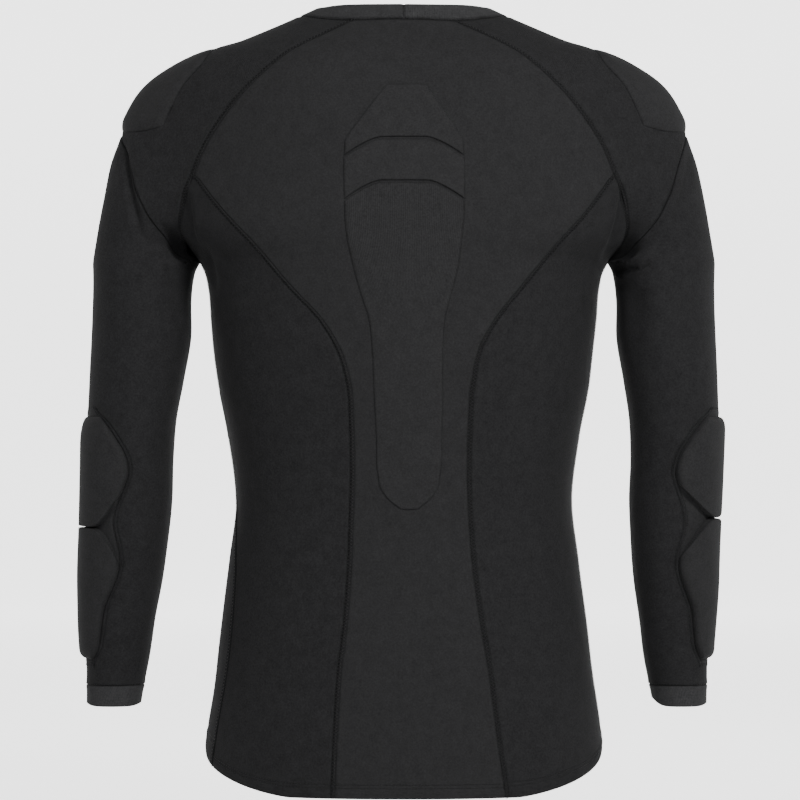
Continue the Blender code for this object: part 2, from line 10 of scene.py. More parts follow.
import bmesh
import bpy
import numpy as np
from bpy.props import FloatProperty, FloatVectorProperty, PointerProperty
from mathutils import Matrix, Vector


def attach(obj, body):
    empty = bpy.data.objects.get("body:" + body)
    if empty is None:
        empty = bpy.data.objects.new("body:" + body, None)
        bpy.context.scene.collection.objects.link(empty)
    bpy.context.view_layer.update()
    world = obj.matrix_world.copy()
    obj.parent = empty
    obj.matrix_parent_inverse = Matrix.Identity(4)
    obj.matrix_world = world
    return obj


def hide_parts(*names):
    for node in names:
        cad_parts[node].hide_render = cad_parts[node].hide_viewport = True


bl_info = {
    "name": "Padded compression shirt",
    "version": (1, 0, 0),
    "blender": (4, 5, 0),
    "location": "View3D > Sidebar > Shirt",
    "description": "Builds a hollow raglan compression shirt with foam pads and its sewing",
    "category": "Object",
}

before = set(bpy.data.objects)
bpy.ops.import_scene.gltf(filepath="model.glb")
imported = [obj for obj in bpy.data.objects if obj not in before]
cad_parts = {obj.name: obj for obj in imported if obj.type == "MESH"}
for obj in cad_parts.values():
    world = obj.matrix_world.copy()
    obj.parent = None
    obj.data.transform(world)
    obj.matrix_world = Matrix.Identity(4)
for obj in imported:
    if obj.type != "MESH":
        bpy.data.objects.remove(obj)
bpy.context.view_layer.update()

MM = 0.001
BACK, FRONT = -1, 1
LEFT, RIGHT = -1, 1
SIDES = (("left", LEFT), ("right", RIGHT))
# How small a step measures a surface's slopes, how often a search halves its range, and how close two points
# are, in metres, that are taken for one.
STEP = 0.002
HALVINGS = 32
MERGE_M = 2e-6

ARMPIT = 10
ARMPIT_Z = -213
BODY_STEP = 48.4
HEM_START = 18
HEM = 20
ARM_STEP = 38.1
CAP_END = 12
CUFF_SEAM = 20
CUFF_END = 20.5
ARM_END = 21
SIDE_BACK_START = 6.12

BODY_FULLNESS = 1.1
SLEEVE_ROUNDNESS = 1.06
HEM_BACK_Z = -684
HEM_SIDE_RISE = 36
HEM_LEVEL_PART = 0.35
HEM_FRONT_RISE = 12
SLEEVE_LEAN = 6.5
LEAN_START_Z = -290
PANEL_TOP_Z = -344
PANEL_END_Z = -576


class Sections:
    """Rows of sizes at places along the shirt, joined by smooth curves that can be read anywhere."""

    def __init__(self, columns, rows):
        rows = np.array(sorted(rows), float)
        self.places = rows[:, 0]
        self.sizes = dict(zip(columns.split()[1:], rows[:, 1:].T))
        self.slopes = {name: np.gradient(size, self.places) for name, size in self.sizes.items()}

    def at(self, name, place):
        place = np.clip(place, self.places[0], self.places[-1])
        k = np.clip(np.searchsorted(self.places, place) - 1, 0, len(self.places) - 2)
        step = self.places[k + 1] - self.places[k]
        size, slope = self.sizes[name], self.slopes[name]
        t = (place - self.places[k]) / step
        return hermite(size[k], size[k + 1], slope[k] * step, slope[k + 1] * step, t)


BACK_YOKE = Sections(
    "level middle_depth middle_z seam_x seam_depth seam_z body_turn sleeve_turn",
    [
        (0, 72, 0, 42.8, 69.5, -0.8, 16, 16),
        (1, 88, -20, 88.7, 80, -23.4, 26, 26),
        (2, 99, -37.5, 112.3, 86, -38.7, 30, 30),
        (3, 109, -63.5, 140, 86, -64, 33, 33),
        (4, 116, -87.3, 159.2, 80.5, -87.3, 34, 34),
        (5, 121, -112.2, 175.5, 74, -112.2, 36, 34),
        (6, 124, -136.2, 185.8, 68, -136.2, 39, 28),
        (7, 125.3, -154.2, 193.4, 61, -154.2, 46, 16),
        (8, 126.2, -178.3, 198, 46, -178.3, 60, -12),
        (9, 126.3, -195.5, 195.2, 27, -195.5, 74, -48),
        (10, 126, -213, 183, 0, -213, 90, -90),
    ],
)
FRONT_YOKE = Sections(
    "level middle_depth middle_z seam_x seam_depth seam_z body_turn sleeve_turn",
    [
        (0, 68, -70, 64, 42, -30, 42, 42),
        (1, 81, -84, 82, 57, -47, 38, 38),
        (2, 91, -97, 97, 67, -62, 36, 36),
        (3, 101, -111, 115, 76, -82, 35, 35),
        (4, 109, -124, 131, 80, -100, 35, 35),
        (5, 115, -138, 147, 80, -120, 37, 35),
        (6, 119, -150, 160, 74, -140, 41, 29),
        (7, 121, -163, 169, 66, -157, 48, 14),
        (8, 123, -184, 180, 49, -180, 62, -16),
        (9, 124, -199, 185, 29, -196, 76, -52),
        (10, 124, -213, 183, 0, -213, 90, -90),
    ],
)
SHOULDER_LINE = Sections(
    "level x y z",
    [
        (0, 95, -8, 4.5),
        (1, 143, -4, -14.8),
        (2, 172, -2, -23.5),
        (3, 206, 0, -40),
        (4, 231.5, 0, -58.5),
        (5, 247.5, 0, -83.5),
        (6, 258, 0, -110),
        (7, 264.6, 0, -130),
        (8, 271, 0, -162),
        (9, 275.3, 0, -187),
        (10, 279.8, 0, -213),
    ],
)
TORSO = Sections(
    "z half_width back_depth front_depth",
    [
        (-213, 183, 126, 124),
        (-222, 178.6, 126, 124),
        (-235, 175.6, 125.6, 123.5),
        (-265, 172.8, 124.2, 122),
        (-319, 167, 119.5, 116),
        (-373, 157, 112.5, 108),
        (-427, 150.8, 107.8, 102),
        (-481, 157, 108.6, 101),
        (-535, 163.8, 113, 103),
        (-589, 170.1, 118, 106),
        (-643, 177.8, 121.5, 109),
        (-690, 182, 123, 110.5),
    ],
)
ARM = Sections(
    "z inner_x outer_x middle_y half_depth",
    [
        (-213, 183, 279.8, 0, 51),
        (-221, 187.2, 279.6, 0, 51),
        (-229, 189, 279.4, 0, 51),
        (-247, 191, 279.6, 0, 50.5),
        (-283, 191.7, 281, 0.5, 50),
        (-319, 197.5, 282.5, 1, 48.5),
        (-355, 203.9, 284, 2, 46.5),
        (-391, 206, 283.7, 4, 45),
        (-427, 206, 283.5, 6, 43.5),
        (-463, 208.4, 283.5, 9, 42),
        (-499, 212.9, 283.5, 13, 39.5),
        (-535, 218.7, 282.6, 17, 36),
        (-571, 224, 280.8, 21, 32.5),
        (-594, 228.5, 281, 23, 29),
        (-613, 232, 281, 24.5, 28),
    ],
)
BACK_SEAM = Sections(
    "z half_width swing",
    [
        (-139, 186, 0),
        (-169, 161.6, 1),
        (-201, 132.8, 1.5),
        (-239, 101, 2),
        (-267, 76.9, 4),
        (-296, 60.9, 5),
        (-322, 54.5, 6),
        (-361, 51.8, 6),
        (-401, 51.1, 6),
        (-437, 52.2, 6),
        (-483, 54.8, 7),
        (-530, 59.7, 8.5),
        (-576, 66.2, 9.6),
        (-628, 71.3, 11.4),
        (-690, 77, 14.5),
    ],
)
SIDE_SEAM = Sections(
    "z left right",
    [(-213, 1, 1), (-300, 1, 1), (-400, 0.98, 1), (-481, 0.8, 1), (-690, 0.8, 1)],
)
# How far round from the sleeve's outermost line the arm panel reaches, backwards and forwards.
ARM_PANEL = Sections(
    "z back front",
    [
        (-213, 62, -14),
        (-300, 56, -6),
        (-344, 36, 14),
        (-357, 59, -9),
        (-371, 76, -26),
        (-386, 90, -40),
        (-400, 95, -45),
        (-417, 88, -38),
        (-433, 79, -29),
        (-446, 75.5, -25),
        (-459, 80, -30),
        (-474, 87, -37),
        (-486, 89, -39),
        (-499, 84.5, -34),
        (-511, 77, -27),
        (-522, 70, -20),
        (-542, 65, -15),
        (-560, 58, -8),
        (-576, 42, 8),
        (-594, 50, 0),
    ],
)
ARM_SEAM = Sections(
    "round level",
    [
        (0, 10),
        (0.03, 9.8),
        (0.065, 9.25),
        (0.1, 8.5),
        (0.15, 7.85),
        (0.225, 7.2),
        (0.32, 6.25),
        (0.4, 5.8),
        (0.5, 5.6),
        (0.58, 6.2),
        (0.68, 7.5),
        (0.8, 8.8),
        (0.92, 9.7),
        (1, 10),
    ],
)
COLLAR_EDGE = Sections(
    "round x y z",
    [
        (0, 0, -64, 13.5),
        (0.3, 12.5, -63.8, 13.5),
        (1, 39, -61, 13.5),
        (2, 66, -47, 13),
        (3, 80, -12, 9.5),
        (4, 67, 30, -20),
        (5, 51, 43, -34),
        (5.4, 32, 50.5, -45.5),
        (5.8, 11, 54.6, -52.3),
        (6, 0, 55, -53),
    ],
)
SPINE = Sections(
    "z half_width middle",
    [
        (-61, 14, 2),
        (-64, 19, 2),
        (-66, 20.5, 1.8),
        (-84, 33.6, 1),
        (-106, 49.6, 0.3),
        (-110, 51.6, 0.2),
        (-116, 52.1, 0.2),
        (-163, 52.5, 0.5),
        (-178, 52.1, 0.5),
        (-198, 49.9, 0.5),
        (-218, 46.6, 1.5),
        (-251, 37.8, 2),
        (-264, 33.9, 2.5),
        (-288, 31.3, 3),
        (-335, 30.1, 4),
        (-367, 28.8, 4.5),
        (-402, 27.5, 4.5),
        (-416, 24, 4.5),
        (-424, 17.9, 4.5),
        (-433, 6, 5),
    ],
)
SPINE_TOP_Z = -61
SPINE_END_Z = -433
SPINE_GROOVES = Sections(
    "number middle_z drop",
    [(0, SPINE_TOP_Z, 0), (1, -109, 15.5), (2, -147, 15.5), (3, SPINE_END_Z, 0)],
)
GROOVE = 1.6
SHOULDER_PAD = Sections(
    "part middle_level edge_level reach",
    [
        (0, 1.95, 2.05, 0.11),
        (0.25, 2.85, 2.6, 0.21),
        (0.5, 3.75, 3.4, 0.25),
        (0.75, 4.6, 4.1, 0.28),
        (1, 5.45, 4.75, 0.295),
    ],
)
PAD_MARGIN = {LEFT: 2.4, RIGHT: 4}
ELBOW_PAD_TOP_Z = -352
FOREARM_PAD_END_Z = -570
# Where the two arm pads face each other: the height at the panel's edges, how much further the pad reaches
# outermost, and how square its corners are.
ELBOW_PAD_END = {LEFT: (-418, -32.4, 5), RIGHT: (-411, -31.2, 2.2)}
FOREARM_PAD_TOP = {LEFT: (-488, 37, 5), RIGHT: (-477, 34.4, 2.6)}

# Creases pressed into the cloth: the face, three points of the curve as x and z, its width and its depth.
CREASES = [
    (BACK, -192, -157, -190, -182, -184, -208, 3.5, 5.0),
    (BACK, -210, -190, -198, -203, -184, -213, 6.5, 9.0),
    (BACK, -181, -196, -175, -216, -171, -240, 6.5, 5.5),
    (BACK, -250, -112, -245, -142, -234, -190, 3.2, 5.0),
    (BACK, -222, -222, -214, -240, -210, -268, 7.0, 2.0),
    (BACK, 193, -152, 190, -182, 178, -210, 3.2, 4.5),
    (BACK, 207, -200, 196, -208, 184, -213, 5.0, 7.0),
    (BACK, 184, -217, 199, -221, 221, -216, 3.4, 6.0),
    (BACK, 189, -230, 201, -240, 208, -266, 9.0, 2.2),
    (BACK, -207, -212, -204, -236, -199, -262, 5.5, 3.0),
    (BACK, 255, -115, 250, -150, 238, -180, 3.5, 2.2),
    (BACK, 214, -238, 206, -262, 208, -290, 8.0, 1.6),
    (FRONT, -186, -160, -188, -184, -182, -208, 5.0, 4.0),
    (FRONT, -214, -196, -200, -208, -184, -213, 7.0, 8.0),
    (FRONT, 186, -160, 188, -184, 182, -208, 5.0, 4.0),
    (FRONT, 214, -196, 200, -208, 184, -213, 7.0, 8.0),
    (FRONT, -258, -388, -238, -398, -218, -392, 9.0, 2.4),
    (FRONT, -254, -424, -236, -416, -220, -422, 8.0, 2.0),
    (FRONT, 258, -388, 238, -398, 218, -392, 9.0, 2.4),
    (FRONT, 254, -424, 236, -416, 220, -422, 8.0, 2.0),
    (FRONT, -120, -236, -146, -224, -168, -218, 10.0, 1.8),
    (FRONT, 120, -236, 146, -224, 168, -218, 10.0, 1.8),
]
CREASE_STEPS = 14
# How far from a crease's middle point the cloth is looked at, across and up.
CREASE_REACH = (70, 80)
# The ridge beside a crease: its height as a share of the depth, and its place and spread in crease widths.
RIDGE_SHARE, RIDGE_PLACE, RIDGE_WIDTH = 0.16, 2.1, 0.9
# The cloth's own slight unevenness, in mm.
WAVE_HEIGHT, RIPPLE_HEIGHT = 0.28, 0.16
# How much shorter each cuff is on its inner side, as a share of its depth.
CUFF_RISE = {LEFT: 0.14, RIGHT: 0.4}
CUFF_THICKER, COLLAR_THICKER = 0.2, 0.6


def hermite(start, end, leave, arrive, t):
    rise = 3 * t * t - 2 * t**3
    return start + (end - start) * rise + leave * t * (1 - t) ** 2 - arrive * t * t * (1 - t)


def cubic(a, b, c, d, t):
    return a * (1 - t) ** 3 + 3 * b * t * (1 - t) ** 2 + 3 * c * t * t * (1 - t) + d * t**3


def smooth(x, low, high):
    t = np.clip((x - low) / (high - low), 0, 1)
    return t * t * (3 - 2 * t)


def unit(vectors):
    return vectors / np.maximum(np.linalg.norm(vectors, axis=-1, keepdims=True), 1e-9)


def body_plan(depth, seam_x, seam_depth, turn, t):
    """From the middle line, square to it, out to the seam, which it meets at the given turn."""
    angle = np.radians(turn)
    reach = BODY_FULLNESS * 4 / 3 * np.tan(angle / 4) / np.sin(angle)
    along = reach * (seam_x * np.cos(angle) - (seam_depth - depth) * np.sin(angle))
    x = cubic(0 * seam_x, reach * seam_x, seam_x - along * np.cos(angle), seam_x, t)
    return x, cubic(depth, depth, seam_depth + along * np.sin(angle), seam_depth, t)


def sleeve_plan(seam, tip, turn, roundness, t):
    """From the seam, which it leaves at the given turn, to the outermost line, which it meets square."""
    angle = np.radians(turn)
    sweep = np.radians(90 - turn)
    chord = np.hypot(tip[0] - seam[0], tip[1] - seam[1])
    reach = roundness * chord * 2 / 3 * np.tan(sweep / 4) / np.sin(sweep / 2)
    x = cubic(seam[0], seam[0] + reach * np.cos(angle), tip[0], tip[0], t)
    return x, cubic(seam[1], seam[1] - reach * np.sin(angle), tip[1] + reach, tip[1], t)


def yoke_sizes(face, level):
    """The yoke's sizes at levels, from the back's table or the front's wherever face says so."""
    behind = {name: BACK_YOKE.at(name, level) for name in BACK_YOKE.sizes}
    return {name: np.where(face == BACK, size, FRONT_YOKE.at(name, level)) for name, size in behind.items()}


def seam_slope(row, level):
    """How fast a line round the shirt climbs, for each mm outwards, where it crosses the raglan seam."""
    body_length = np.hypot(row["seam_x"], row["middle_depth"] - row["seam_depth"])
    arm_length = SHOULDER_LINE.at("x", level) - row["seam_x"] + row["seam_depth"]
    inner = (row["seam_z"] - row["middle_z"]) / body_length
    outer = (SHOULDER_LINE.at("z", level) - row["seam_z"]) / arm_length
    return (inner * arm_length + outer * body_length) / (body_length + arm_length)


def hem_z(face, t):
    side_z = HEM_BACK_Z + HEM_SIDE_RISE
    rise = (np.maximum(t - HEM_LEVEL_PART, 0) / (1 - HEM_LEVEL_PART)) ** 1.3
    return np.where(face == BACK, HEM_BACK_Z + HEM_SIDE_RISE * rise, side_z + HEM_FRONT_RISE * (1 - t**4))


def body_half(face, t, level):
    """Points of the body on its right half, t of the way from the middle line to the seam."""
    face, t, level = np.broadcast_arrays(face, np.asarray(t, float), np.asarray(level, float))
    high = np.minimum(level, ARMPIT)
    row = yoke_sizes(face, high)
    shape = (row[name] for name in ("middle_depth", "seam_x", "seam_depth", "body_turn"))
    upper_x, upper_depth = body_plan(*shape, t)
    length = np.hypot(row["seam_x"], row["middle_depth"] - row["seam_depth"])
    upper_z = hermite(row["middle_z"], row["seam_z"], 0, seam_slope(row, high) * length, t)
    z = ARMPIT_Z - (np.clip(level, ARMPIT, HEM_START) - ARMPIT) * BODY_STEP
    z = z + (hem_z(face, t) - z) * np.clip((level - HEM_START) / (HEM - HEM_START), 0, 1)
    depth = np.where(face == BACK, TORSO.at("back_depth", z), TORSO.at("front_depth", z))
    lower_x, lower_depth = body_plan(depth, TORSO.at("half_width", z), 0 * z, 90, t)
    below = level > ARMPIT
    x, depth = np.where(below, lower_x, upper_x), np.where(below, lower_depth, upper_depth)
    return np.stack([x, face * depth, np.where(below, z, upper_z)], axis=-1)


def mirrored(points, side):
    """The points as they are on the right, or turned over onto the left."""
    x, y, z = (points[..., k] for k in range(3))
    return np.stack([x * side, y, z], axis=-1)


def body_round(side, t, level):
    """Round one half of the body: t is 0 on the back's middle line, 1 at the seam and 2 on the front's."""
    face = np.where(np.asarray(t) < 1, BACK, FRONT)
    return mirrored(body_half(face, np.where(t < 1, t, 2 - t), level), side)


def back_round(side, t, level):
    return mirrored(body_half(BACK, t, level), side)


def front_round(side, t, level):
    return mirrored(body_half(FRONT, 2 - t, level), side)


def arm_z(level):
    return ARMPIT_Z - (level - ARMPIT) * ARM_STEP


def arm_level(z):
    return ARMPIT + (ARMPIT_Z - z) / ARM_STEP


def sleeve_round(side, t, level):
    """Round a sleeve: t is 0 at the back seam or the arm's inner line, 0.5 outermost and 1 in front."""
    side, t, level = np.broadcast_arrays(side, np.asarray(t, float), np.asarray(level, float))
    face = np.where(t <= 0.5, BACK, FRONT)
    part = 2 * np.minimum(t, 1 - t)
    high = np.minimum(level, ARMPIT)
    row = yoke_sizes(face, high)
    tip = (SHOULDER_LINE.at("x", high), face * SHOULDER_LINE.at("y", high))
    seam = (row["seam_x"], row["seam_depth"])
    upper_x, upper_depth = sleeve_plan(seam, tip, row["sleeve_turn"], SLEEVE_ROUNDNESS, part)
    length = np.hypot(tip[0] - seam[0], tip[1] - seam[1])
    across = FRONT_YOKE.at("seam_z", high) - BACK_YOKE.at("seam_z", high)
    tip_slope = np.where(high < ARMPIT - 2, -face * across / (2 * length), 0)
    leave = seam_slope(row, high) * length
    upper_z = hermite(row["seam_z"], SHOULDER_LINE.at("z", high), leave, tip_slope * length, part)
    z = arm_z(np.maximum(level, ARMPIT))
    inner_x, outer_x, middle_y, half_depth = (ARM.at(name, z) for name in ARM.sizes)
    roundness = 2 * half_depth / (outer_x - inner_x)
    inner, outer = (inner_x, face * middle_y), (outer_x, face * middle_y)
    lower_x, lower_depth = sleeve_plan(inner, outer, -90, roundness, part)
    lean = np.clip((LEAN_START_Z - z) / (LEAN_START_Z - arm_z(CUFF_SEAM)), 0, 1)
    lower_x = lower_x - side * SLEEVE_LEAN * lean * lean * (3 - 2 * lean)
    below = level > ARMPIT
    x, depth = np.where(below, lower_x, upper_x), np.where(below, lower_depth, upper_depth)
    return np.stack([side * x, face * depth, np.where(below, z, upper_z)], axis=-1)


# Where t starts and ends on each surface.
SPANS = {back_round: (0, 1), front_round: (1, 2), body_round: (0, 2), sleeve_round: (0, 1)}


def spots(surface, side, t, level, high=HEM):
    """Points of a surface with their outward directions, found from small steps that stay on it."""
    side, t, level = np.broadcast_arrays(side, np.asarray(t, float), np.asarray(level, float))
    first, last = SPANS[surface]
    ahead, behind = np.minimum(t + STEP, last), np.maximum(t - STEP, first)
    across = surface(side, ahead, level) - surface(side, behind, level)
    below, above = np.minimum(level + STEP, high), np.maximum(level - STEP, 0)
    down = surface(side, t, below) - surface(side, t, above)
    return surface(side, t, level), unit(np.cross(down, across) * side[..., None])


def arm_spots(side, part, level):
    return spots(sleeve_round, side, part, level, high=ARM_END)


def inverse(values, reader, low, high):
    """Where a rising reader, given arrays of places from low to high, reaches the values."""
    low, high = np.full(np.shape(values), float(low)), np.full(np.shape(values), float(high))
    for _ in range(HALVINGS):
        middle = (low + high) / 2
        under = reader(middle) < values
        low, high = np.where(under, middle, low), np.where(under, high, middle)
    return low


def body_level(z):
    """The level at which the back's middle line is at height z."""
    upper = inverse(-np.asarray(z, float), lambda level: -BACK_YOKE.at("middle_z", level), 0, ARMPIT)
    return np.where(z < ARMPIT_Z, ARMPIT + (ARMPIT_Z - z) / BODY_STEP, upper)


def part_of_back(x, level):
    """How far from the middle line to the seam a point of the back lies, from its distance x."""
    return inverse(x, lambda part: body_half(BACK, part, level)[..., 0], 0, 1)


def back_spots(x, z):
    level = body_level(z)
    side = np.where(x >= 0, RIGHT, LEFT)
    return spots(back_round, side, part_of_back(np.abs(x), level), level)


SEAM_LEVELS = np.linspace(0, HEM, 600)


def back_seam_parts(side):
    """Where the long seam crosses lines round the body. Above its start the raglan seam is the edge."""
    z = body_half(BACK, 0.4, SEAM_LEVELS)[..., 2]
    part = part_of_back(BACK_SEAM.at("half_width", z) + side * BACK_SEAM.at("swing", z), SEAM_LEVELS)
    return np.where(SEAM_LEVELS <= SIDE_BACK_START, 1.0, part)


BACK_SEAM_PARTS = {side: back_seam_parts(side) for side in (LEFT, RIGHT)}


def back_seam_part(side, level):
    return np.interp(level, SEAM_LEVELS, BACK_SEAM_PARTS[side])


def side_seam_part(side, level):
    return SIDE_SEAM.at("left" if side == LEFT else "right", body_half(BACK, 1, level)[..., 2])


def arm_part(angle):
    """The part of the way round a sleeve, from degrees round from its outermost line, backwards positive."""
    return 0.5 - angle / 360


def crease_depth(points, normals):
    """How far the creases and the cloth's own slight unevenness move each point, in mm outwards."""
    x, y, z = (points[..., k] for k in range(3))
    move = WAVE_HEIGHT * np.sin(x / 21 + 1.3 * np.sin(z / 47)) * np.sin(z / 33 + y / 29 + 0.8)
    move = move + RIPPLE_HEIGHT * np.sin(z / 11 + x / 17) * np.sin(y / 13 - x / 23)
    step = np.linspace(0, 1, CREASE_STEPS)
    for face, x0, z0, x1, z1, x2, z2, width, depth in CREASES:
        bend_x, bend_z = 2 * x1 - (x0 + x2) / 2, 2 * z1 - (z0 + z2) / 2
        line_x = x0 * (1 - step) ** 2 + 2 * bend_x * step * (1 - step) + x2 * step**2
        line_z = z0 * (1 - step) ** 2 + 2 * bend_z * step * (1 - step) + z2 * step**2
        near = (np.abs(x - x1) < CREASE_REACH[0]) & (np.abs(z - z1) < CREASE_REACH[1])
        if not near.any():
            continue
        px, pz = x[near][:, None], z[near][:, None]
        run_x, run_z = np.diff(line_x), np.diff(line_z)
        along = (px - line_x[:-1]) * run_x + (pz - line_z[:-1]) * run_z
        along = np.clip(along / (run_x**2 + run_z**2), 0, 1)
        away = np.hypot(px - line_x[:-1] - along * run_x, pz - line_z[:-1] - along * run_z)
        nearest = away.argmin(axis=1)
        way = (nearest + along[np.arange(len(nearest)), nearest]) / (CREASE_STEPS - 1)
        away = away.min(axis=1) / width
        fade = np.sin(np.pi * np.clip(0.08 + 0.84 * way, 0, 1)) ** 0.7
        facing = smooth(face * normals[..., 1][near], 0.02, 0.4)
        shape = -np.exp(-(away**2)) + RIDGE_SHARE * np.exp(-((away - RIDGE_PLACE) ** 2) / RIDGE_WIDTH)
        move[near] += depth * fade * facing * shape
    return move


# How far each kind of seam moves the cloth outwards, and how strongly painted shade darkens the knit along
# its groove, at these distances from it.
SEAM_OFFSETS = (0.1, 0.8, 1.6, 2.6, 3.6, 5.4)
SEAMS = {
    "flat": ((0.35, 0.25, -0.65, -0.1, 0.2, 0.0), (0.35, 0.1, 0.45, 0.1, 0.0, 0.0)),
    "neck": ((-1.5, -1.1, -0.5, -0.05, 0.1, 0.0), (1.0, 0.9, 0.5, 0.1, 0.0, 0.0)),
    "fold": ((-1.2, -0.8, -0.25, 0.0, 0.05, 0.0), (0.9, 0.7, 0.25, 0.0, 0.0, 0.0)),
    "wrist": ((-0.5, 0.2, 0.35, 0.3, 0.2, 0.0), (0.7, 0.2, 0.0, 0.0, 0.0, 0.0)),
}
# A line of the grid shorter than this many mm has its seams drawn closer together.
FULL_SEAM_LENGTH = 26


def graded(length, count, first, last):
    """Places from 0 to length, closer together at the ends that carry a seam."""
    scale = min(1.0, length / FULL_SEAM_LENGTH)
    head = [offset * scale for offset in SEAM_OFFSETS] if first else [0.0]
    tail = [length - offset * scale for offset in SEAM_OFFSETS][::-1] if last else [length]
    middle = np.linspace(head[-1], tail[0], count - len(head) - len(tail) + 2)[1:-1]
    return np.concatenate([head, middle, tail])


def run_length(points):
    return np.concatenate([[0], np.cumsum(np.linalg.norm(np.diff(points, axis=0), axis=-1))])


class Cloth:
    """A panel's fine grid: its points and directions, and how far round and down it each one is, in mm."""

    def __init__(self, place, columns, rows):
        """columns and rows are bands (start, end, count, seam first, seam last) that follow one another."""
        fine, depths = self.spaced(lambda b: place(0.5 + 0 * b, b)[0], rows)
        down, depth = fine[0], depths[0]
        across, lengths = self.spaced(lambda a: place(a, down[:, None] + 0 * a)[0], columns, len(down))
        self.points, self.normals = place(across, down[:, None] + 0 * across)
        self.round_mm, self.down_mm = lengths, depth[:, None] + 0 * lengths
        self.move = crease_depth(self.points, self.normals)
        # Painted shade: how much the knit's colour is darkened at each point, as shadow in seam grooves.
        self.painted_shade = np.zeros_like(self.move)

    def spaced(self, read, bands, count=1):
        """For each of count lines, the grid's places along the bands and their distances from its start."""
        places, distances = [np.empty((count, 0))], [np.zeros((count, 0))]
        for start, end, steps, first, last in bands:
            fine = np.linspace(start, end, 101)
            lines = read(np.repeat(fine[None, :], count, axis=0))
            lengths = [run_length(line) for line in lines]
            wanted = [graded(length[-1], steps, first, last) for length in lengths]
            skip = 1 if distances[-1].size else 0
            base = distances[-1][:, -1:] if skip else 0
            found = [np.interp(goal, length, fine) for goal, length in zip(wanted, lengths)]
            places.append(np.array(found)[:, skip:])
            distances.append(base + np.array(wanted)[:, skip:])
        return np.concatenate(places, axis=1), np.concatenate(distances, axis=1)

    def away(self, border):
        """How far each point is from a border of the panel, in mm."""
        if border == "left":
            return self.round_mm - self.round_mm[:, :1]
        if border == "right":
            return self.round_mm[:, -1:] - self.round_mm
        if border == "top":
            return self.down_mm - self.down_mm[:1]
        return self.down_mm[-1:] - self.down_mm

    def press(self, away, kind):
        """Presses in a seam of that kind at the given distances, and paints shade along its groove."""
        relief, seam_shade = SEAMS[kind]
        self.move = self.move + np.interp(away, SEAM_OFFSETS, relief)
        self.painted_shade = np.maximum(self.painted_shade, np.interp(away, SEAM_OFFSETS, seam_shade))

    def outer(self):
        return self.points + self.normals * self.move[..., None]


def give_points(mesh, name, kind, values):
    """Gives each point of a mesh its own value."""
    field = "vector" if kind == "FLOAT_VECTOR" else "value"
    values = np.asarray(values, np.float32).ravel()
    mesh.attributes.new(name, kind, "POINT").data.foreach_set(field, values)


def mesh_object(name, points, faces, uvs, material, painted_shade):
    """A smooth-shaded object from points in mm, with a UV place in metres for each face corner.

    The painted shade at each point darkens the knit along seams and bonded edges, as shadow in their grooves.
    """
    mesh = bpy.data.meshes.new(name)
    mesh.from_pydata((points * MM).tolist(), [], faces.tolist())
    layer = mesh.uv_layers.new(name="cloth")
    layer.data.foreach_set("uv", np.asarray(uvs, np.float32).ravel())
    give_points(mesh, "painted_shade", "FLOAT", painted_shade)
    mesh.materials.append(material)
    mesh.shade_smooth()
    obj = bpy.data.objects.new(name, mesh)
    bpy.context.scene.collection.objects.link(obj)
    return obj


def shell(name, cloth, thickness, material, closed=False, keep=None, edge_band=None):
    """A closed cloth wall on a grid: its outer face, its inner face and the rims that join them.

    keep marks the faces that are there, and edge_band says how much thicker each point of the wall is.
    """
    outer = cloth.outer()
    rows, columns = outer.shape[:2]
    thick = np.full((rows, columns), float(thickness)) + (0 if edge_band is None else edge_band)
    inner = outer - cloth.normals * thick[..., None]
    used = columns - 1 if closed else columns
    index = np.arange(rows)[:, None] * used + np.arange(columns)[None, :] % used
    keep = np.ones((rows - 1, columns - 1), bool) if keep is None else keep
    i, j = np.nonzero(keep)
    corners = [(i, j), (i + 1, j), (i + 1, j + 1), (i, j + 1)]
    quads = np.stack([index[a, b] for a, b in corners], axis=1)
    place = np.stack([cloth.round_mm, cloth.down_mm], axis=-1) * MM
    quad_uvs = np.stack([place[a, b] for a, b in corners], axis=1)
    a, b = i[len(i) // 2], j[len(i) // 2]
    turn = np.cross(outer[a + 1, b] - outer[a, b], outer[a, b + 1] - outer[a, b]) @ cloth.normals[a, b]
    if turn < 0:
        quads, quad_uvs = quads[:, ::-1], quad_uvs[:, ::-1]
    count = rows * used
    edges = np.concatenate([quads[:, [k, (k + 1) % 4]] for k in range(4)])
    edge_uvs = np.concatenate([quad_uvs[:, [k, (k + 1) % 4]] for k in range(4)])
    key = np.sort(edges, axis=1)
    _, first, uses = np.unique(key[:, 0] * count + key[:, 1], return_index=True, return_counts=True)
    rim = first[uses == 1]
    rim = rim[edges[rim, 0] != edges[rim, 1]]
    rims = np.stack([edges[rim, 1], edges[rim, 0], edges[rim, 0] + count, edges[rim, 1] + count], axis=1)
    rim_uvs = edge_uvs[rim][:, [1, 0, 0, 1]]
    faces = np.concatenate([quads, quads[:, ::-1] + count, rims])
    uvs = np.concatenate([quad_uvs, quad_uvs[:, ::-1], rim_uvs])
    points = np.concatenate([outer[:, :used].reshape(-1, 3), inner[:, :used].reshape(-1, 3)])
    painted_shade = np.concatenate([cloth.painted_shade[:, :used].ravel(), np.zeros(count)])
    obj = mesh_object(name, points, faces, uvs, material, painted_shade)
    clean(obj)
    return obj


def clean(obj, pad=False):
    """Merges points that meet at a pointed end, drops a cut-out's loose ones, and turns a pad's faces out."""
    bm = bmesh.new()
    bm.from_mesh(obj.data)
    bmesh.ops.delete(bm, geom=[vert for vert in bm.verts if not vert.link_faces], context="VERTS")
    bmesh.ops.remove_doubles(bm, verts=bm.verts, dist=MERGE_M)
    if pad:
        bmesh.ops.recalc_face_normals(bm, faces=bm.faces)
    bm.to_mesh(obj.data)
    bm.free()
    obj.data.shade_smooth()
    if not pad:
        obj.data.set_sharp_from_angle(angle=math.radians(55))


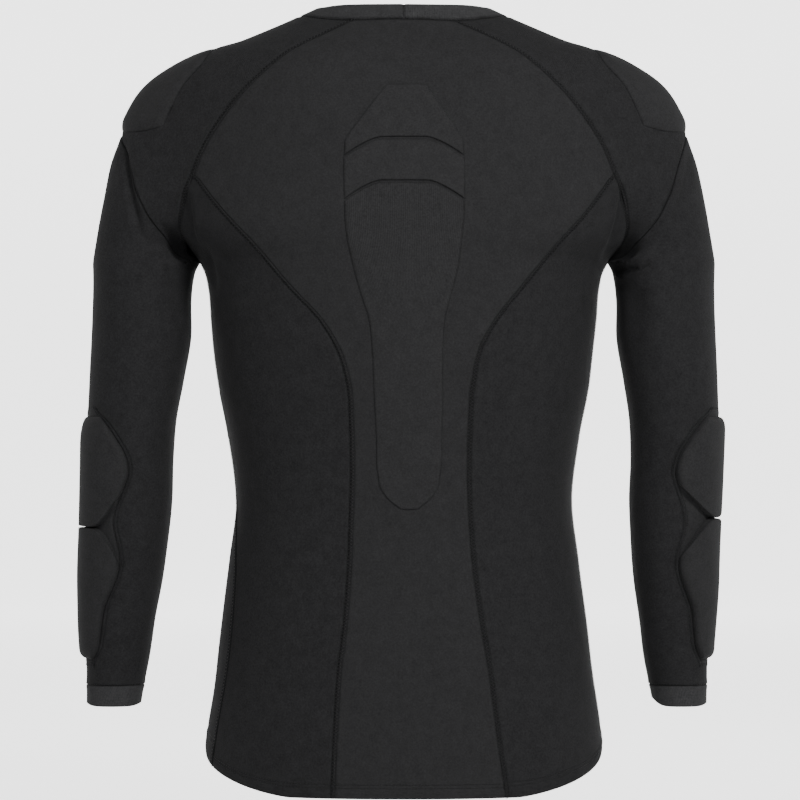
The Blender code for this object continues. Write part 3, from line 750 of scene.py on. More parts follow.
class Value:
    """A shader socket that can be used in Python sums."""

    def __init__(self, nodes, socket):
        self.nodes, self.socket = nodes, socket

    def math(self, operation, *others):
        sockets = {k + 1: getattr(other, "socket", other) for k, other in enumerate(others)}
        return self.nodes.add("ShaderNodeMath", {"operation": operation}, {0: self.socket, **sockets})

    def __add__(self, other):
        return self.math("ADD", other)

    def __sub__(self, other):
        return self.math("SUBTRACT", other)

    def __mul__(self, other):
        return self.math("MULTIPLY", other)

    def sine(self):
        return self.math("SINE")

    def size(self):
        return self.math("ABSOLUTE")

    def fraction(self):
        return self.math("FRACT")

    def power(self, other):
        return self.math("POWER", other)


class Finish:
    """A material under construction."""

    def __init__(self, name):
        self.material = bpy.data.materials.new(name)
        self.material.use_nodes = True
        self.tree = self.material.node_tree
        self.shader = self.tree.nodes["Principled BSDF"]

    def add(self, kind, settings, sockets, out=0):
        node = self.tree.nodes.new(kind)
        for name, value in settings.items():
            setattr(node, name, value)
        for name, value in sockets.items():
            value = getattr(value, "socket", value)
            if isinstance(value, bpy.types.NodeSocket):
                self.tree.links.new(value, node.inputs[name])
            else:
                node.inputs[name].default_value = value
        return Value(self, node.outputs[out])

    def noise(self, **sockets):
        """Noise in the object's own space."""
        own_space = self.add("ShaderNodeTexCoord", {}, {}, 3)
        return self.add("ShaderNodeTexNoise", {}, {"Vector": own_space, **sockets})

    def mix(self, share, color, low, high=1.0):
        """The colour made lighter as the share rises, from low to high times its strength."""
        ends = {6: (*(c * low for c in color), 1), 7: (*(c * high for c in color), 1)}
        return self.add("ShaderNodeMix", {"data_type": "RGBA"}, {0: share, **ends}, 2)

    def feed(self, **sockets):
        for name, value in sockets.items():
            name = name.replace("_", " ")
            if isinstance(value, Value):
                self.tree.links.new(value.socket, self.shader.inputs[name])
            else:
                self.shader.inputs[name].default_value = value


# A loop's height as a share of its width, and how far its two legs lean.
LOOP_HEIGHT, LOOP_LEAN = 0.8, 1.1
# The knit's mottling: how fine its clouds and specks are, and how strongly they show beside the loops.
CLOUD_SCALE, CLOUD_WEIGHT = 110, 1.15
SPECK_SCALE, SPECK_WEIGHT = 620, 2.5
# How strongly painted shade along seams and pad rims darkens the knit's colour.
PAINTED_SHADE_WEIGHT = 0.4


def knit_finish(name, color, pitch, contrast, bump):
    """Fine stretch knit: rows of small V-shaped loops that follow the cloth, mottled and slightly rubbed."""
    knit = Finish(name)
    place = knit.add("ShaderNodeUVMap", {"uv_map": "cloth"}, {})
    round_m = knit.add("ShaderNodeSeparateXYZ", {}, {0: place})
    down_m = Value(knit, round_m.socket.node.outputs[1])
    wale = round_m * (1 / (pitch * MM))
    tilt = (wale.fraction() - 0.5).size() * LOOP_LEAN
    course = down_m * (1 / (pitch * LOOP_HEIGHT * MM)) + tilt
    rib = (wale * math.pi).sine().size().power(0.6)
    loop = (course * (2 * math.pi)).sine() * 0.5 + 0.5
    weave = rib * (loop * 0.55 + 0.45)
    cloud = knit.noise(Scale=CLOUD_SCALE, Detail=5, Roughness=0.6)
    speck = knit.noise(Scale=SPECK_SCALE, Detail=3, Roughness=0.7)
    # Painted shade along seams and pad rims, read from each point's own value.
    painted_shade = knit.add("ShaderNodeAttribute", {"attribute_name": "painted_shade"}, {}, 2)
    shade = (cloud - 0.5) * (contrast * CLOUD_WEIGHT) + (speck - 0.5) * (contrast * SPECK_WEIGHT)
    shade = shade + (weave - 0.45) * contrast + 0.5 - painted_shade * PAINTED_SHADE_WEIGHT
    height = weave + cloud * 0.4
    normal = knit.add("ShaderNodeBump", {}, {"Strength": bump, "Distance": 0.0003, "Height": height})
    knit.feed(Base_Color=knit.mix(shade, color, 0.3, 1.7), Roughness=cloud * 0.14 + 0.81, Normal=normal)
    knit.feed(Sheen_Weight=0.02, Sheen_Roughness=0.45, Specular_IOR_Level=0.12)
    return knit.material


def thread_finish(name, color):
    """Twisted polyester thread with a soft shine."""
    thread = Finish(name)
    noise = thread.noise(Scale=2200, Detail=2)
    bump = thread.add("ShaderNodeBump", {}, {"Strength": 0.4, "Distance": 0.0001, "Height": noise})
    thread.feed(Base_Color=thread.mix(noise, color, 0.7, 1.3), Normal=bump)
    thread.feed(Roughness=0.55, Specular_IOR_Level=0.3)
    return thread.material


FINISHES = {}
RIB_LIGHTER = 1.65


def finish(name):
    """The material of that name, made once with the colours and sizes set in the panel."""
    if name not in FINISHES:
        cloth, thread = bpy.context.scene.shirt_cloth, bpy.context.scene.shirt_thread
        side, back, pad = tuple(cloth.side_color), tuple(cloth.back_color), tuple(cloth.pad_color)
        knits = {
            "black_knit": (side, cloth.pitch, 0.5, 0.5),
            "smooth_knit": (back, cloth.pitch, 0.36, 0.42),
            "pad_knit": (pad, cloth.pitch, 0.36, 0.42),
            "rib_knit": (tuple(c * RIB_LIGHTER for c in back), cloth.pitch * 1.5, 0.4, 0.7),
        }
        made = knit_finish(name, *knits[name]) if name in knits else thread_finish(name, tuple(thread.color))
        FINISHES[name] = made
    return FINISHES[name]


GRIDS = {}


def place_on_frame(obj, node):
    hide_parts(node)
    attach(obj, "root")


def declare_sheet(cloth, hangs=False, keep=True):
    """Works out the cut of what shows: the longest row, the middle column and the outer face's area, but keeps
    none.

    A panel that hangs straight down is as tall as its middle column and whatever reaches past its ends.
    keep marks the faces that are there, in a panel with a cut-out.
    """
    outer = cloth.outer()
    wide = float((cloth.round_mm[:, -1] - cloth.round_mm[:, 0]).max())
    tall = float(cloth.down_mm[-1, 0])
    if hangs:
        z = cloth.points[..., 2]
        middle = z.shape[1] // 2
        tall += float(z.max() - z[0, middle] + z[-1, middle] - z.min())
    down, across = outer[1:, :-1] - outer[:-1, :-1], outer[:-1, 1:] - outer[:-1, :-1]
    area = float((np.linalg.norm(np.cross(down, across), axis=-1) * keep).sum())
    area = min(area, wide * tall) * MM * MM


def back_centre_place(a, b):
    level = HEM * b
    left, right = back_seam_part(LEFT, level), back_seam_part(RIGHT, level)
    signed = -left + (left + right) * a
    return spots(back_round, np.where(signed < 0, LEFT, RIGHT), np.abs(signed), level)


def side_back_place(side):
    def place(a, b):
        level = SIDE_BACK_START + (HEM - SIDE_BACK_START) * b
        inner, outer = back_seam_part(side, level), side_seam_part(side, level)
        inner = np.where(b <= 0, outer, inner)
        return spots(back_round, side, inner + (outer - inner) * a, level)

    return place


def front_place(a, b):
    level = HEM * b
    signed = 2 * a - 1
    side = np.where(signed < 0, LEFT, RIGHT)
    left = np.where(level > ARMPIT, side_seam_part(LEFT, level), 1.0)
    right = np.where(level > ARMPIT, side_seam_part(RIGHT, level), 1.0)
    start = np.where(signed < 0, left, right)
    return spots(body_round, side, 2 - np.abs(signed) * (2 - start), level)


def shoulder_place(side):
    def place(a, b):
        return spots(sleeve_round, side, a, b * ARM_SEAM.at("level", a), high=ARMPIT)

    return place


# A sleeve's grid: its cap down to CAP, the cloth up to INNER_BAND behind, and the arm panel up to PANEL_BAND.
CAP = 0.3
INNER_BAND, PANEL_BAND = 0.3, 0.6
CAP_BACK, CAP_FRONT = 62, -14
# How many lines its bands have: behind, over and before the arm panel, then the cap, above, beside and below.
SLEEVE_COLUMNS = (44, 30, 56)
SLEEVE_ROWS = (44, 26, 96, 14)


def band_part(a, back, front):
    """The part of the way round for a column, from the arm panel's edges in degrees."""
    angle = np.where(
        a < INNER_BAND,
        180 + (back - 180) * a / INNER_BAND,
        np.where(
            a < PANEL_BAND,
            back + (front - back) * (a - INNER_BAND) / (PANEL_BAND - INNER_BAND),
            front + (-180 - front) * (a - PANEL_BAND) / (1 - PANEL_BAND),
        ),
    )
    return arm_part(angle)


def sleeve_place(side):
    def place(a, b):
        cap = np.clip(b / CAP, 0, 1)
        z = arm_z(CAP_END + (CUFF_SEAM - CAP_END) * np.clip((b - CAP) / (1 - CAP), 0, 1))
        back = CAP_BACK + (ARM_PANEL.at("back", z) - CAP_BACK) * cap
        front = CAP_FRONT + (ARM_PANEL.at("front", z) - CAP_FRONT) * cap
        part = band_part(a, back, front)
        top = ARM_SEAM.at("level", part)
        level = np.where(b < CAP, top + (CAP_END - top) * cap, arm_level(z))
        return arm_spots(side, part, level)

    return place


def sleeve_down(z):
    """How far down the sleeve's grid height z is."""
    return CAP + (1 - CAP) * (arm_level(z) - CAP_END) / (CUFF_SEAM - CAP_END)


def arm_panel_place(side):
    def place(a, b):
        z = PANEL_TOP_Z + (PANEL_END_Z - PANEL_TOP_Z) * b
        back, front = ARM_PANEL.at("back", z), ARM_PANEL.at("front", z)
        return arm_spots(side, arm_part(back + (front - back) * a), arm_level(z))

    return place


def cuff_place(side):
    def place(a, b):
        part = 1 - a if side == LEFT else a
        out = arm_spots(side, part, CUFF_SEAM + 0 * b)[1]
        outward = side * out[..., 0]
        rise = np.where(outward < 0, CUFF_RISE[side], CUFF_RISE[LEFT]) * outward**6
        end = CUFF_END - (CUFF_END - CUFF_SEAM) * rise
        return arm_spots(side, part, CUFF_SEAM + (end - CUFF_SEAM) * b)

    return place


def neck_spots(t):
    """Spots of the neck seam on the right: t runs from 0 at the back to 6 in front."""
    back = spots(back_round, RIGHT, np.clip(t, 0, 1), 0.0 * t)
    shoulder = spots(sleeve_round, RIGHT, np.clip((t - 1) / 4, 0, 1), 0.0 * t)
    ahead = spots(front_round, RIGHT, np.clip(t - 4, 1, 2), 0.0 * t)
    first, last = (t < 1)[..., None], (t > 5)[..., None]
    return tuple(np.where(first, back[k], np.where(last, ahead[k], shoulder[k])) for k in (0, 1))


def collar_place(a, b):
    side = np.where(a <= 0.5, RIGHT, LEFT)
    t = 12 * np.minimum(a, 1 - a)
    height = 1 - b
    seam, upright = neck_spots(t)
    edge = np.stack([COLLAR_EDGE.at(name, t) for name in "xyz"], axis=-1)
    band = edge - seam
    run = neck_spots(np.minimum(t + STEP, 6))[0] - neck_spots(np.maximum(t - STEP, 0))[0]
    normal = unit(np.cross(run, band))
    normal = unit(upright + (normal - upright) * np.minimum(2 * height, 1)[..., None])
    return mirrored(seam + band * height[..., None], side), mirrored(normal, side)


HEM_WIDTH = 13.0
HEM_NEEDLES = (HEM_WIDTH, HEM_WIDTH - 3.2)
NEEDLE_WIDTH, NEEDLE_DEPTH = 0.9, 0.55
# The hem's band: how far it stands out, how much thicker it is, and the width of its upper edge.
HEM_RISE, HEM_THICKER, HEM_STEP = 0.35, 0.7, 1.5
# The hem's rolled edge: its radius, how far it drops and how much thinner it gets.
HEM_ROLL, HEM_DROP, HEM_THINNER = 1.4, 0.7, 1.1


def edge_roll(away, radius):
    """From -1 at a rolled edge up to 0 where the cloth is flat, a radius away from it."""
    return np.sqrt(np.clip(1 - ((radius - away) / radius).clip(0, 1) ** 2, 0, 1)) - 1


def hem_relief(cloth):
    """Turns the hem up as a thicker band below two needle lines, and says how much thicker it is."""
    up = cloth.away("bottom")
    needles = sum(np.exp(-(((up - line) / NEEDLE_WIDTH) ** 2)) for line in HEM_NEEDLES)
    band, roll = smooth(HEM_WIDTH + 1 - up, 0, HEM_STEP), edge_roll(up, HEM_ROLL)
    cloth.move = cloth.move + HEM_RISE * band - NEEDLE_DEPTH * needles
    cloth.move = cloth.move + HEM_DROP * roll
    return band * HEM_THICKER + HEM_THINNER * roll


def whole(count, first=True, last=True):
    """One band of count lines over a whole panel, with or without a seam at each end."""
    return [(0, 1, count, first, last)]


def finish_panel(name, cloth, slot, material=None, extra=0, hangs=False, ending="_cloth", **shell_options):
    """Turns the cloth into a wall, extra mm thicker than most, that replaces the solid of that name."""
    thickness = bpy.context.scene.shirt_cloth.thickness + extra
    obj = shell(name + ending, cloth, thickness, finish(material or slot), **shell_options)
    place_on_frame(obj, name)
    declare_sheet(cloth, hangs, shell_options.get("keep", True))
    GRIDS[name] = cloth


def make_panel(name, place, columns, rows, slot, edges, hem=False, **options):
    """A panel whose edges are a seam's kind for each sewn border."""
    cloth = Cloth(place, columns, rows)
    for border, kind in edges.items():
        cloth.press(cloth.away(border), kind)
    band = hem_relief(cloth) if hem else None
    finish_panel(name, cloth, slot, edge_band=band, hangs=hem or "closed" in options, **options)


def color_setting(name, description, default):
    return FloatVectorProperty(name=name, description=description, subtype="COLOR", default=default)


def height_setting(name, default, most):
    note = "How far it stands out, in mm"
    return FloatProperty(name=name, description=note, default=default, min=1, max=most)


class ClothSettings(bpy.types.PropertyGroup):
    thickness: FloatProperty(
        name="Cloth thickness", description="Thickness of the knit, in mm", default=1.2, min=0.6, max=1.5
    )
    pitch: FloatProperty(
        name="Knit pitch", description="Width of one knit loop, in mm", default=1.0, min=0.4, max=3
    )
    side_color: color_setting("Side colour", "Knit of sides, front and sleeves", (0.0163, 0.0163, 0.017))
    back_color: color_setting("Back colour", "Knit of the back panel", (0.02, 0.02, 0.0207))
    pad_color: color_setting("Pad colour", "Knit over the pads", (0.0215, 0.0215, 0.0222))


class PadSettings(bpy.types.PropertyGroup):
    spine: height_setting("Spine pad", 1.5, 6)
    shoulder: height_setting("Shoulder pads", 3.8, 6)
    arm: height_setting("Arm pads", 6.2, 8)


class ThreadSettings(bpy.types.PropertyGroup):
    radius: FloatProperty(
        name="Thread radius", description="Half the thread's width", subtype="DISTANCE", default=0.00022
    )
    stitch: FloatProperty(name="Stitch length", description="One stitch", subtype="DISTANCE", default=0.0028)
    color: color_setting("Thread colour", "Sewing thread", (0.008, 0.008, 0.0085))


class StageSettings(bpy.types.PropertyGroup):
    floor_color: color_setting("Stage colour", "Floor and backdrop", (0.9, 0.9, 0.9))
    wall_glow: FloatProperty(name="Wall glow", description="How brightly the wall glows", default=2.2)
    key_power: FloatProperty(
        name="Key light", description="Power of the light from the right", subtype="POWER", default=98
    )
    rim_power: FloatProperty(
        name="Rim lights", description="Power of each side light", subtype="POWER", default=7
    )
    world_strength: FloatProperty(name="Room light", description="Brightness of the room", default=0.2)


class SHIRT_OT_body(bpy.types.Operator):
    """Makes the back, side and front panels of the body"""

    bl_idname = "shirt.body"
    bl_label = "Body panels"

    def execute(self, context):
        sides = {"left": "flat", "right": "flat"}
        neck = {**sides, "top": "neck"}
        rows = whole(230, last=False)
        make_panel("back_centre", back_centre_place, whole(96), rows, "smooth_knit", neck, hem=True)
        rows = whole(190, False, False)
        for word, side in SIDES:
            place = side_back_place(side)
            make_panel("side_back_" + word, place, whole(52), rows, "black_knit", sides, hem=True)
        rows = whole(220, last=False)
        make_panel("front", front_place, whole(150), rows, "black_knit", neck, hem=True)
        return {"FINISHED"}


class SHIRT_OT_sleeves(bpy.types.Operator):
    """Makes the shoulder panels, the sleeves, their elbow panels and the cuffs"""

    bl_idname = "shirt.sleeves"
    bl_label = "Shoulders and sleeves"

    def execute(self, context):
        sides = {"left": "flat", "right": "flat"}
        joined = {**sides, "top": "neck", "bottom": "fold"}
        sewn_in = {**sides, "top": "flat", "bottom": "flat"}
        for word, side in SIDES:
            make_panel("shoulder_" + word, shoulder_place(side), whole(90), whole(100), "black_knit", joined)
            self.sleeve("sleeve_" + word, side)
            place = arm_panel_place(side)
            make_panel("elbow_panel_" + word, place, whole(44), whole(110), "smooth_knit", sewn_in)
            round_cuff, down_cuff = whole(110, False, False), whole(14, last=False)
            cuff = {"material": "rib_knit", "extra": CUFF_THICKER, "closed": True}
            place = cuff_place(side)
            make_panel("cuff_" + word, place, round_cuff, down_cuff, "smooth_knit", {"top": "wrist"}, **cuff)
        return {"FINISHED"}

    def sleeve(self, name, side):
        """A sleeve with a cut-out for its arm panel, whose seam is pressed in round it."""
        behind, over, before = SLEEVE_COLUMNS
        cap, above, beside, below = SLEEVE_ROWS
        top, end = sleeve_down(PANEL_TOP_Z), sleeve_down(PANEL_END_Z)
        columns = [(0, INNER_BAND, behind, False, True), (INNER_BAND, PANEL_BAND, over, True, True)]
        columns.append((PANEL_BAND, 1, before, True, False))
        rows = [(0, CAP, cap, True, False), (CAP, top, above, False, False)]
        rows += [(top, end, beside, False, False), (end, 1, below, False, True)]
        cloth = Cloth(sleeve_place(side), columns, rows)
        cloth.press(cloth.away("top"), "fold")
        cloth.press(cloth.away("bottom"), "wrist")
        first_row, first_column = cap + above - 2, behind - 1
        last_row, last_column = first_row + beside - 1, first_column + over - 1
        to_edges = [np.abs(cloth.round_mm - cloth.round_mm[:, [k]]) for k in (first_column, last_column)]
        row = np.arange(len(cloth.move))[:, None]
        is_beside = (row >= first_row) & (row <= last_row)
        cloth.press(np.where(is_beside, np.minimum(*to_edges), SEAM_OFFSETS[-1]), "flat")
        keep = np.ones_like(cloth.move[1:, 1:], bool)
        keep[first_row:last_row, first_column:last_column] = False
        finish_panel(name, cloth, "black_knit", closed=True, keep=keep)


# The collar's rolled edge: its radius, how far it drops and how much thinner it gets.
COLLAR_ROLL, COLLAR_DROP, COLLAR_THINNER = 1.6, 0.9, 1.3
# The collar's joining seam at the back: its depth and width, and the strength and width of its painted shade.
JOIN_DEPTH, JOIN_WIDTH = 1.1, 1.1
JOIN_SHADE, JOIN_SHADE_WIDTH = 0.8, 0.9


class SHIRT_OT_collar(bpy.types.Operator):
    """Makes the collar band with its joining seam at the back"""

    bl_idname = "shirt.collar"
    bl_label = "Collar"

    def execute(self, context):
        cloth = Cloth(collar_place, whole(220), whole(18, first=False))
        cloth.press(cloth.away("bottom"), "neck")
        roll = edge_roll(cloth.down_mm, COLLAR_ROLL)
        cloth.move = cloth.move + COLLAR_DROP * roll
        to_seam = np.minimum(cloth.round_mm, cloth.away("right"))
        cloth.move = cloth.move - JOIN_DEPTH * np.exp(-((to_seam / JOIN_WIDTH) ** 2))
        # Shade painted along the joining seam, darkening the knit as if its groove were in shadow.
        dark = JOIN_SHADE * np.exp(-((to_seam / JOIN_SHADE_WIDTH) ** 2))
        cloth.painted_shade = np.maximum(cloth.painted_shade, dark)
        options = {"material": "rib_knit", "extra": COLLAR_THICKER, "ending": "_band", "closed": True}
        finish_panel("collar", cloth, "smooth_knit", edge_band=COLLAR_THINNER * roll, **options)
        return {"FINISHED"}


def spine_line(number, across):
    """The height of a line over the spine pad, where across is -1 to 1 from its left edge to its right."""
    arch = np.maximum(np.abs(across) - 0.4, 0) / 0.6
    return SPINE_GROOVES.at("middle_z", number) - SPINE_GROOVES.at("drop", number) * arch**1.4


def spine_place(number):
    def place(s, t):
        across = 2 * s - 1
        top = spine_line(number, across) - (GROOVE / 2 if number else 0)
        bottom = spine_line(number + 1, across) + (GROOVE / 2 if number < 2 else 0)
        z = top + (bottom - top) * t
        return back_spots(SPINE.at("middle", z) + across * SPINE.at("half_width", z), z)

    return place


def shoulder_pad_place(side):
    def place(s, t):
        across = 2 * s - 1
        middle, edge = SHOULDER_PAD.at("middle_level", t), SHOULDER_PAD.at("edge_level", t)
        level = middle + (edge - middle) * np.abs(across) ** 3
        return spots(sleeve_round, side, 0.5 + across * SHOULDER_PAD.at("reach", t), level)

    return place


def arched(end, s):
    """The height of a pad's end: at the panel's edges, changed by its reach between them."""
    edge_z, reach, squareness = end
    return edge_z + reach * (1 - np.abs(2 * s - 1) ** squareness)


def arm_pad_place(side, top, end):
    """A pad on the arm panel, between two arched ends."""

    def place(s, t):
        top_z = arched(top, s)
        z = top_z + (arched(end, s) - top_z) * t
        back = ARM_PANEL.at("back", z) - PAD_MARGIN[side]
        front = ARM_PANEL.at("front", z) + PAD_MARGIN[side]
        return arm_spots(side, arm_part(back + (front - back) * s), arm_level(z))

    return place


# How far in from a pad's rim its painted shade reaches, in mm.
RIM_SHADE_WIDTH = 0.9
PAD_SINK = 0.4
BEVEL_STEPS = 8


def make_pad(name, place, height, grid, bevels, crown=0.0, softness=0.5, line=0.7):
    """A foam pad under its own knit: a flat base sunk in the cloth, rounded edges and a low crown.

    grid is its columns and rows between the bevels, and bevels are those of its sides, top and end in mm.
    softness says how slowly they rise, and line how strongly shade is painted along the rim.
    """
    fine = np.linspace(0, 1, 41)
    wide = run_length(place(fine, 0 * fine + 0.5)[0])[-1]
    tall = run_length(place(0 * fine + 0.5, fine)[0])[-1]
    side, top, end = bevels[0] / wide, bevels[1] / tall, bevels[2] / tall
    ease = 1 - np.cos(np.linspace(0, np.pi / 2, BEVEL_STEPS))
    across, down = (
        np.concatenate([ease * first, np.linspace(first, 1 - last, count)[1:-1], (1 - ease * last)[::-1]])
        for first, last, count in ((side, side, grid[0]), (top, end, grid[1]))
    )
    s, t = np.meshgrid(across, down)
    points, normals = place(s, t)
    edge = 1
    for far in (np.minimum(s, 1 - s) / side, t / top, (1 - t) / end):
        edge = edge * (1 - (1 - np.clip(far, 0, 1)) ** 2) ** softness
    rim_mm = np.minimum(np.minimum(np.minimum(s, 1 - s) * wide, t * tall), (1 - t) * tall)
    # Shade painted along the rim, where the pad meets the cloth, as if the crevice were in shadow.
    painted_shade = line * np.exp(-((rim_mm / RIM_SHADE_WIDTH) ** 2)).ravel()
    dome = (1 - (2 * s - 1) ** 2) * (1 - (2 * t - 1) ** 2)
    move = crease_depth(points, normals)
    upper = points + normals * (move + height * edge + crown * dome)[..., None]
    lower = points + normals * (move - PAD_SINK)[..., None]
    index = np.arange(s.size).reshape(s.shape)
    corners = (index[:-1, :-1], index[1:, :-1], index[1:, 1:], index[:-1, 1:])
    quads = np.stack(corners, axis=-1).reshape(-1, 4)
    uv = np.stack([s * wide, t * tall], axis=-1).reshape(-1, 2) * MM
    rim = np.concatenate([index[0, :-1], index[:-1, -1], index[-1, :0:-1], index[:0:-1, 0]])
    ahead = np.roll(rim, -1)
    rims = np.stack([rim, ahead, ahead + s.size, rim + s.size], axis=1)
    faces = np.concatenate([quads, quads[:, ::-1] + s.size, rims])
    uvs = np.concatenate([uv, uv])[faces]
    points = np.concatenate([upper.reshape(-1, 3), lower.reshape(-1, 3)])
    painted_shade = np.concatenate([painted_shade, painted_shade])
    obj = mesh_object(name + "_foam", points, faces, uvs, finish("pad_knit"), painted_shade)
    clean(obj, pad=True)
    place_on_frame(obj, name)


# The parts of the spine pad, with their rows and the bevels at their tops and ends.
SPINE_PARTS = (("top", 30, 3.0, 1.6), ("middle", 22, 1.6, 1.6), ("lower", 110, 1.6, 4.0))
SPINE_BEVEL = 3.5
SHOULDER_BEVELS = (12.0, 30.0, 13.0)
ELBOW_BEVELS = {LEFT: (7.0, 24.0, 0.8), RIGHT: (7.0, 12.0, 0.8)}
FOREARM_BEVELS = (7.0, 0.8, 10.0)
ARM_GRID = (50, 46)


class SHIRT_OT_pads(bpy.types.Operator):
    """Makes the foam pads of the spine, the shoulders and the arms"""

    bl_idname = "shirt.pads"
    bl_label = "Foam pads"

    def execute(self, context):
        pads = context.scene.shirt_pads
        for number, (word, rows, top, end) in enumerate(SPINE_PARTS):
            bevels = (SPINE_BEVEL, top, end)
            make_pad("spine_pad_" + word, spine_place(number), pads.spine, (50, rows), bevels)
        arm = {"crown": 0.5, "line": 0.3}
        for word, side in SIDES:
            name, place = "shoulder_pad_" + word, shoulder_pad_place(side)
            make_pad(name, place, pads.shoulder, (60, 46), SHOULDER_BEVELS, softness=0.85, line=1.0)
            place = arm_pad_place(side, (ELBOW_PAD_TOP_Z, 0, 1), ELBOW_PAD_END[side])
            make_pad("elbow_pad_" + word, place, pads.arm, ARM_GRID, ELBOW_BEVELS[side], **arm)
            place = arm_pad_place(side, FOREARM_PAD_TOP[side], (FOREARM_PAD_END_Z, 0, 1))
            make_pad("forearm_pad_" + word, place, pads.arm, ARM_GRID, FOREARM_BEVELS, **arm)
        return {"FINISHED"}


def stitch_tree():
    """Lays a short thread on each point, along the point's own direction and as long as the point says."""
    tree = bpy.data.node_groups.new("stitches", "GeometryNodeTree")
    for name, way, kind in (
        ("Places", "INPUT", "Geometry"),
        ("Thread radius", "INPUT", "Float"),
        ("Thread", "INPUT", "Material"),
        ("Stitches", "OUTPUT", "Geometry"),
    ):
        tree.interface.new_socket(name, in_out=way, socket_type="NodeSocket" + kind)
    add = tree.nodes.new
    start, end = add("NodeGroupInput"), add("NodeGroupOutput")
    aim, reach = add("GeometryNodeInputNamedAttribute"), add("GeometryNodeInputNamedAttribute")
    for node, kind, name in ((aim, "FLOAT_VECTOR", "aim"), (reach, "FLOAT", "reach")):
        node.data_type = kind
        node.inputs["Name"].default_value = name
    piece = add("GeometryNodeMeshCylinder")
    for name, value in (("Vertices", 5), ("Radius", 1), ("Depth", 1)):
        piece.inputs[name].default_value = value
    turn = add("FunctionNodeAlignRotationToVector")
    turn.axis = "Z"
    size = add("ShaderNodeCombineXYZ")
    lay = add("GeometryNodeInstanceOnPoints")
    real = add("GeometryNodeRealizeInstances")
    color = add("GeometryNodeSetMaterial")
    for source, target in (
        (aim.outputs[0], turn.inputs["Vector"]),
        (start.outputs["Thread radius"], size.inputs[0]),
        (start.outputs["Thread radius"], size.inputs[1]),
        (reach.outputs[0], size.inputs[2]),
        (start.outputs["Places"], lay.inputs["Points"]),
        (piece.outputs["Mesh"], lay.inputs["Instance"]),
        (turn.outputs[0], lay.inputs["Rotation"]),
        (size.outputs[0], lay.inputs["Scale"]),
        (lay.outputs[0], real.inputs[0]),
        (real.outputs[0], color.inputs["Geometry"]),
        (start.outputs["Thread"], color.inputs["Material"]),
        (color.outputs[0], end.inputs[0]),
    ):
        tree.links.new(source, target)
    return tree


def even_places(line, normals, pitch):
    """Places a pitch apart along a line, with the line's direction and the cloth's at each."""
    along = run_length(line)
    if along[-1] < 2 * pitch:
        return None
    at = np.arange(pitch / 2, along[-1], pitch)
    points, outward = (
        np.stack([np.interp(at, along, part[:, k]) for k in range(3)], axis=1) for part in (line, normals)
    )
    return points, unit(np.gradient(points, axis=0)), unit(outward)


# Needle stitches: their height on the cloth in mm and their share of the pitch. Cover threads: their height,
# their share of the pitch from one to the next, their length in mm, and how far they lean.
NEEDLE_LIFT, NEEDLE_SHARE = 0.12, 0.74
COVER_LIFT, COVER_STEP, COVER_LENGTH, COVER_LEAN = 0.28, 0.55, 3.4, 0.55


def sew(name, runs, tree):
    """Sews runs of (line, normals, kind): needle stitches follow the line, and cover threads cross it."""
    thread = bpy.context.scene.shirt_thread
    places, aims, reaches = [], [], []
    pitch = thread.stitch / MM
    for line, normals, kind in runs:
        found = even_places(line, normals, pitch if kind == "needle" else pitch * COVER_STEP)
        if found is None:
            continue
        points, aim, outward = found
        if kind == "needle":
            places.append(points + outward * NEEDLE_LIFT)
            aims.append(aim)
            reaches.append(np.full(len(points), pitch * NEEDLE_SHARE * MM))
        else:
            across = unit(np.cross(outward, aim))
            lean = np.where(np.arange(len(points)) % 2 == 0, 1, -1)[:, None]
            places.append(points + outward * COVER_LIFT)
            aims.append(unit(across + aim * COVER_LEAN * lean))
            reaches.append(np.full(len(points), COVER_LENGTH * MM))
    places = np.concatenate(places) * MM
    mesh = bpy.data.meshes.new(name)
    mesh.from_pydata(places.tolist(), [], [])
    give_points(mesh, "aim", "FLOAT_VECTOR", np.concatenate(aims))
    give_points(mesh, "reach", "FLOAT", np.concatenate(reaches))
    obj = bpy.data.objects.new(name, mesh)
    bpy.context.scene.collection.objects.link(obj)
    modifier = obj.modifiers.new("stitches", "NODES")
    modifier.node_group = tree
    sockets = {item.name: item.identifier for item in tree.interface.items_tree if item.in_out == "INPUT"}
    modifier[sockets["Thread radius"]] = thread.radius
    modifier[sockets["Thread"]] = finish("thread")
    bpy.context.view_layer.update()
    meshed = bpy.data.meshes.new_from_object(obj.evaluated_get(bpy.context.evaluated_depsgraph_get()))
    obj.modifiers.clear()
    obj.data = meshed
    meshed.shade_smooth()
    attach(obj, "root")


# The columns and the row of a panel's grid that lie along a seam's needle lines.
NEEDLE_COLUMNS = (2, -3)
NEEDLE_ROW = 2


def column_run(name, column, kind="needle"):
    cloth = GRIDS[name]
    return cloth.outer()[:, column], cloth.normals[:, column], kind


def row_run(name, row):
    cloth = GRIDS[name]
    return cloth.outer()[row], cloth.normals[row], "needle"


def needle_runs(name):
    return [column_run(name, column) for column in NEEDLE_COLUMNS]


def cover_runs(name):
    return [column_run(name, column, "cover") for column in (0, -1)]


